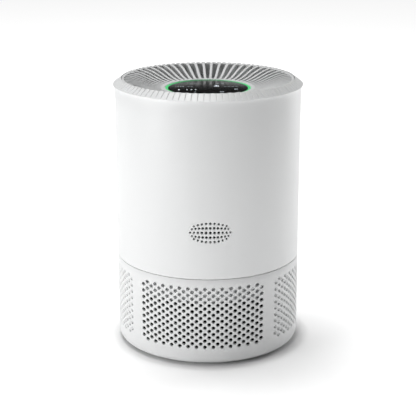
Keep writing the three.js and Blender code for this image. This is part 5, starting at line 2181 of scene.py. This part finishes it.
@dataclass(frozen=True)
class Trim:
    """A CAD node that keeps its shape and gets merged facets and soft edges.

    Args:
        node: the node.
        finish: what it is made of.
        slot: its material slot.
        edge: width of its edges' round.
        body: the body that it moves with.
    """

    node: str
    finish: Finish
    slot: str
    edge: float = 0.3
    body: str = "head"

    def build(self) -> None:
        """Makes the piece."""
        piece = smooth(refined(self.node, self.edge), 40)
        dress(piece, self.finish, self.body, self.slot, self.node)


ELECTRONICS = (
    Trim("interlock_switch", DARK_PLASTIC, "dark_plastic", 0.4),
    Trim("interlock_plunger", DARK_PLASTIC, "dark_plastic", 0.15, "plunger"),
    Trim("control_board", BOARD_GREEN, "board_green", 0.2),
    Trim("power_board", BOARD_GREEN, "board_green", 0.2),
    Trim("dc_jack", DARK_PLASTIC, "dark_plastic", 0.25),
    Trim("air_sensor", DARK_PLASTIC, "dark_plastic", 0.4),
    Trim("sensor_gasket", SEAL_FOAM, "foam_rubber", 0.2),
    Trim("motor_lead", LEAD_RUBBER, "lead_rubber", 0.2),
    Trim("panel_lead", LEAD_RUBBER, "lead_rubber", 0.2),
)


@dataclass
class Studio:
    """The camera, the lights and the pale floor."""

    away: float = 1216.3
    height: float = 507.8
    pitch: float = 16.72
    turn: float = -1.4
    lens: float = 101.0
    sensor: float = 36.0
    sky: float = 0.03
    floor_size: float = 12
    floor_z: float = -0.0001

    def build(self) -> None:
        """Makes all of it."""
        bpy.ops.object.select_all(action="DESELECT")
        eye = around(self.away, self.turn, self.height) * MM
        bpy.ops.object.camera_add(
            location=eye, rotation=(math.radians(90 - self.pitch), 0, math.radians(self.turn))
        )
        camera = bpy.context.object
        camera.data.lens = self.lens
        camera.data.sensor_width = self.sensor
        bpy.context.scene.camera = camera
        self.floor()
        self.light("left_softbox", (-1.5, -0.8, 0.5), (0, 0, 0.15), 0.8, 10.5)
        self.light("overhead_softbox", (-0.25, 0.35, 2.3), (0, 0, 0.1), 0.9, 31)
        self.light("rear_right_softbox", (1.3, 1.0, 0.5), (0, 0, 0.15), 0.7, 7.5)
        world = bpy.data.worlds.new("studio_white")
        world.use_nodes = True
        background = world.node_tree.nodes["Background"]
        background.inputs["Color"].default_value = linear("#FFFFFF")
        background.inputs["Strength"].default_value = self.sky
        bpy.context.scene.world = world
        bpy.context.scene.view_settings.view_transform = "Standard"

    def light(self, name: str, place: Place, aim: Place, size: float, power: float) -> None:
        """A soft square light.

        Args:
            name: its name.
            place: where it hangs, in metres.
            aim: where it points.
            size: its side.
            power: watts.
        """
        bpy.ops.object.light_add(type="AREA", location=place)
        lamp = bpy.context.object
        lamp.name = name
        lamp.rotation_euler = (Vector(aim) - Vector(place)).to_track_quat("-Z", "Y").to_euler()
        lamp.data.size = size
        lamp.data.energy = power

    def floor(self) -> None:
        """A wide pale sheet that the unit stands on."""
        bpy.ops.object.select_all(action="DESELECT")
        bpy.ops.mesh.primitive_plane_add(size=self.floor_size, location=(0, 0, self.floor_z))
        sheet = bpy.context.object
        sheet.name = "studio_floor"
        sheet.data.materials.append(FLOOR_SHEET.make())


def main() -> None:
    """Builds the sub-assemblies in order and reports each piece."""
    logging.basicConfig(level=logging.INFO, format="%(name)s %(message)s")
    for assembly in (Studio, Base, Filter, Deck, AirPath, Fan, Motor, Body, Crown, Grille, TouchPanel):
        assembly().build()
    for part in (*SCREWS, *ELECTRONICS):
        part.build()


if __name__ == "__main__":
    main()
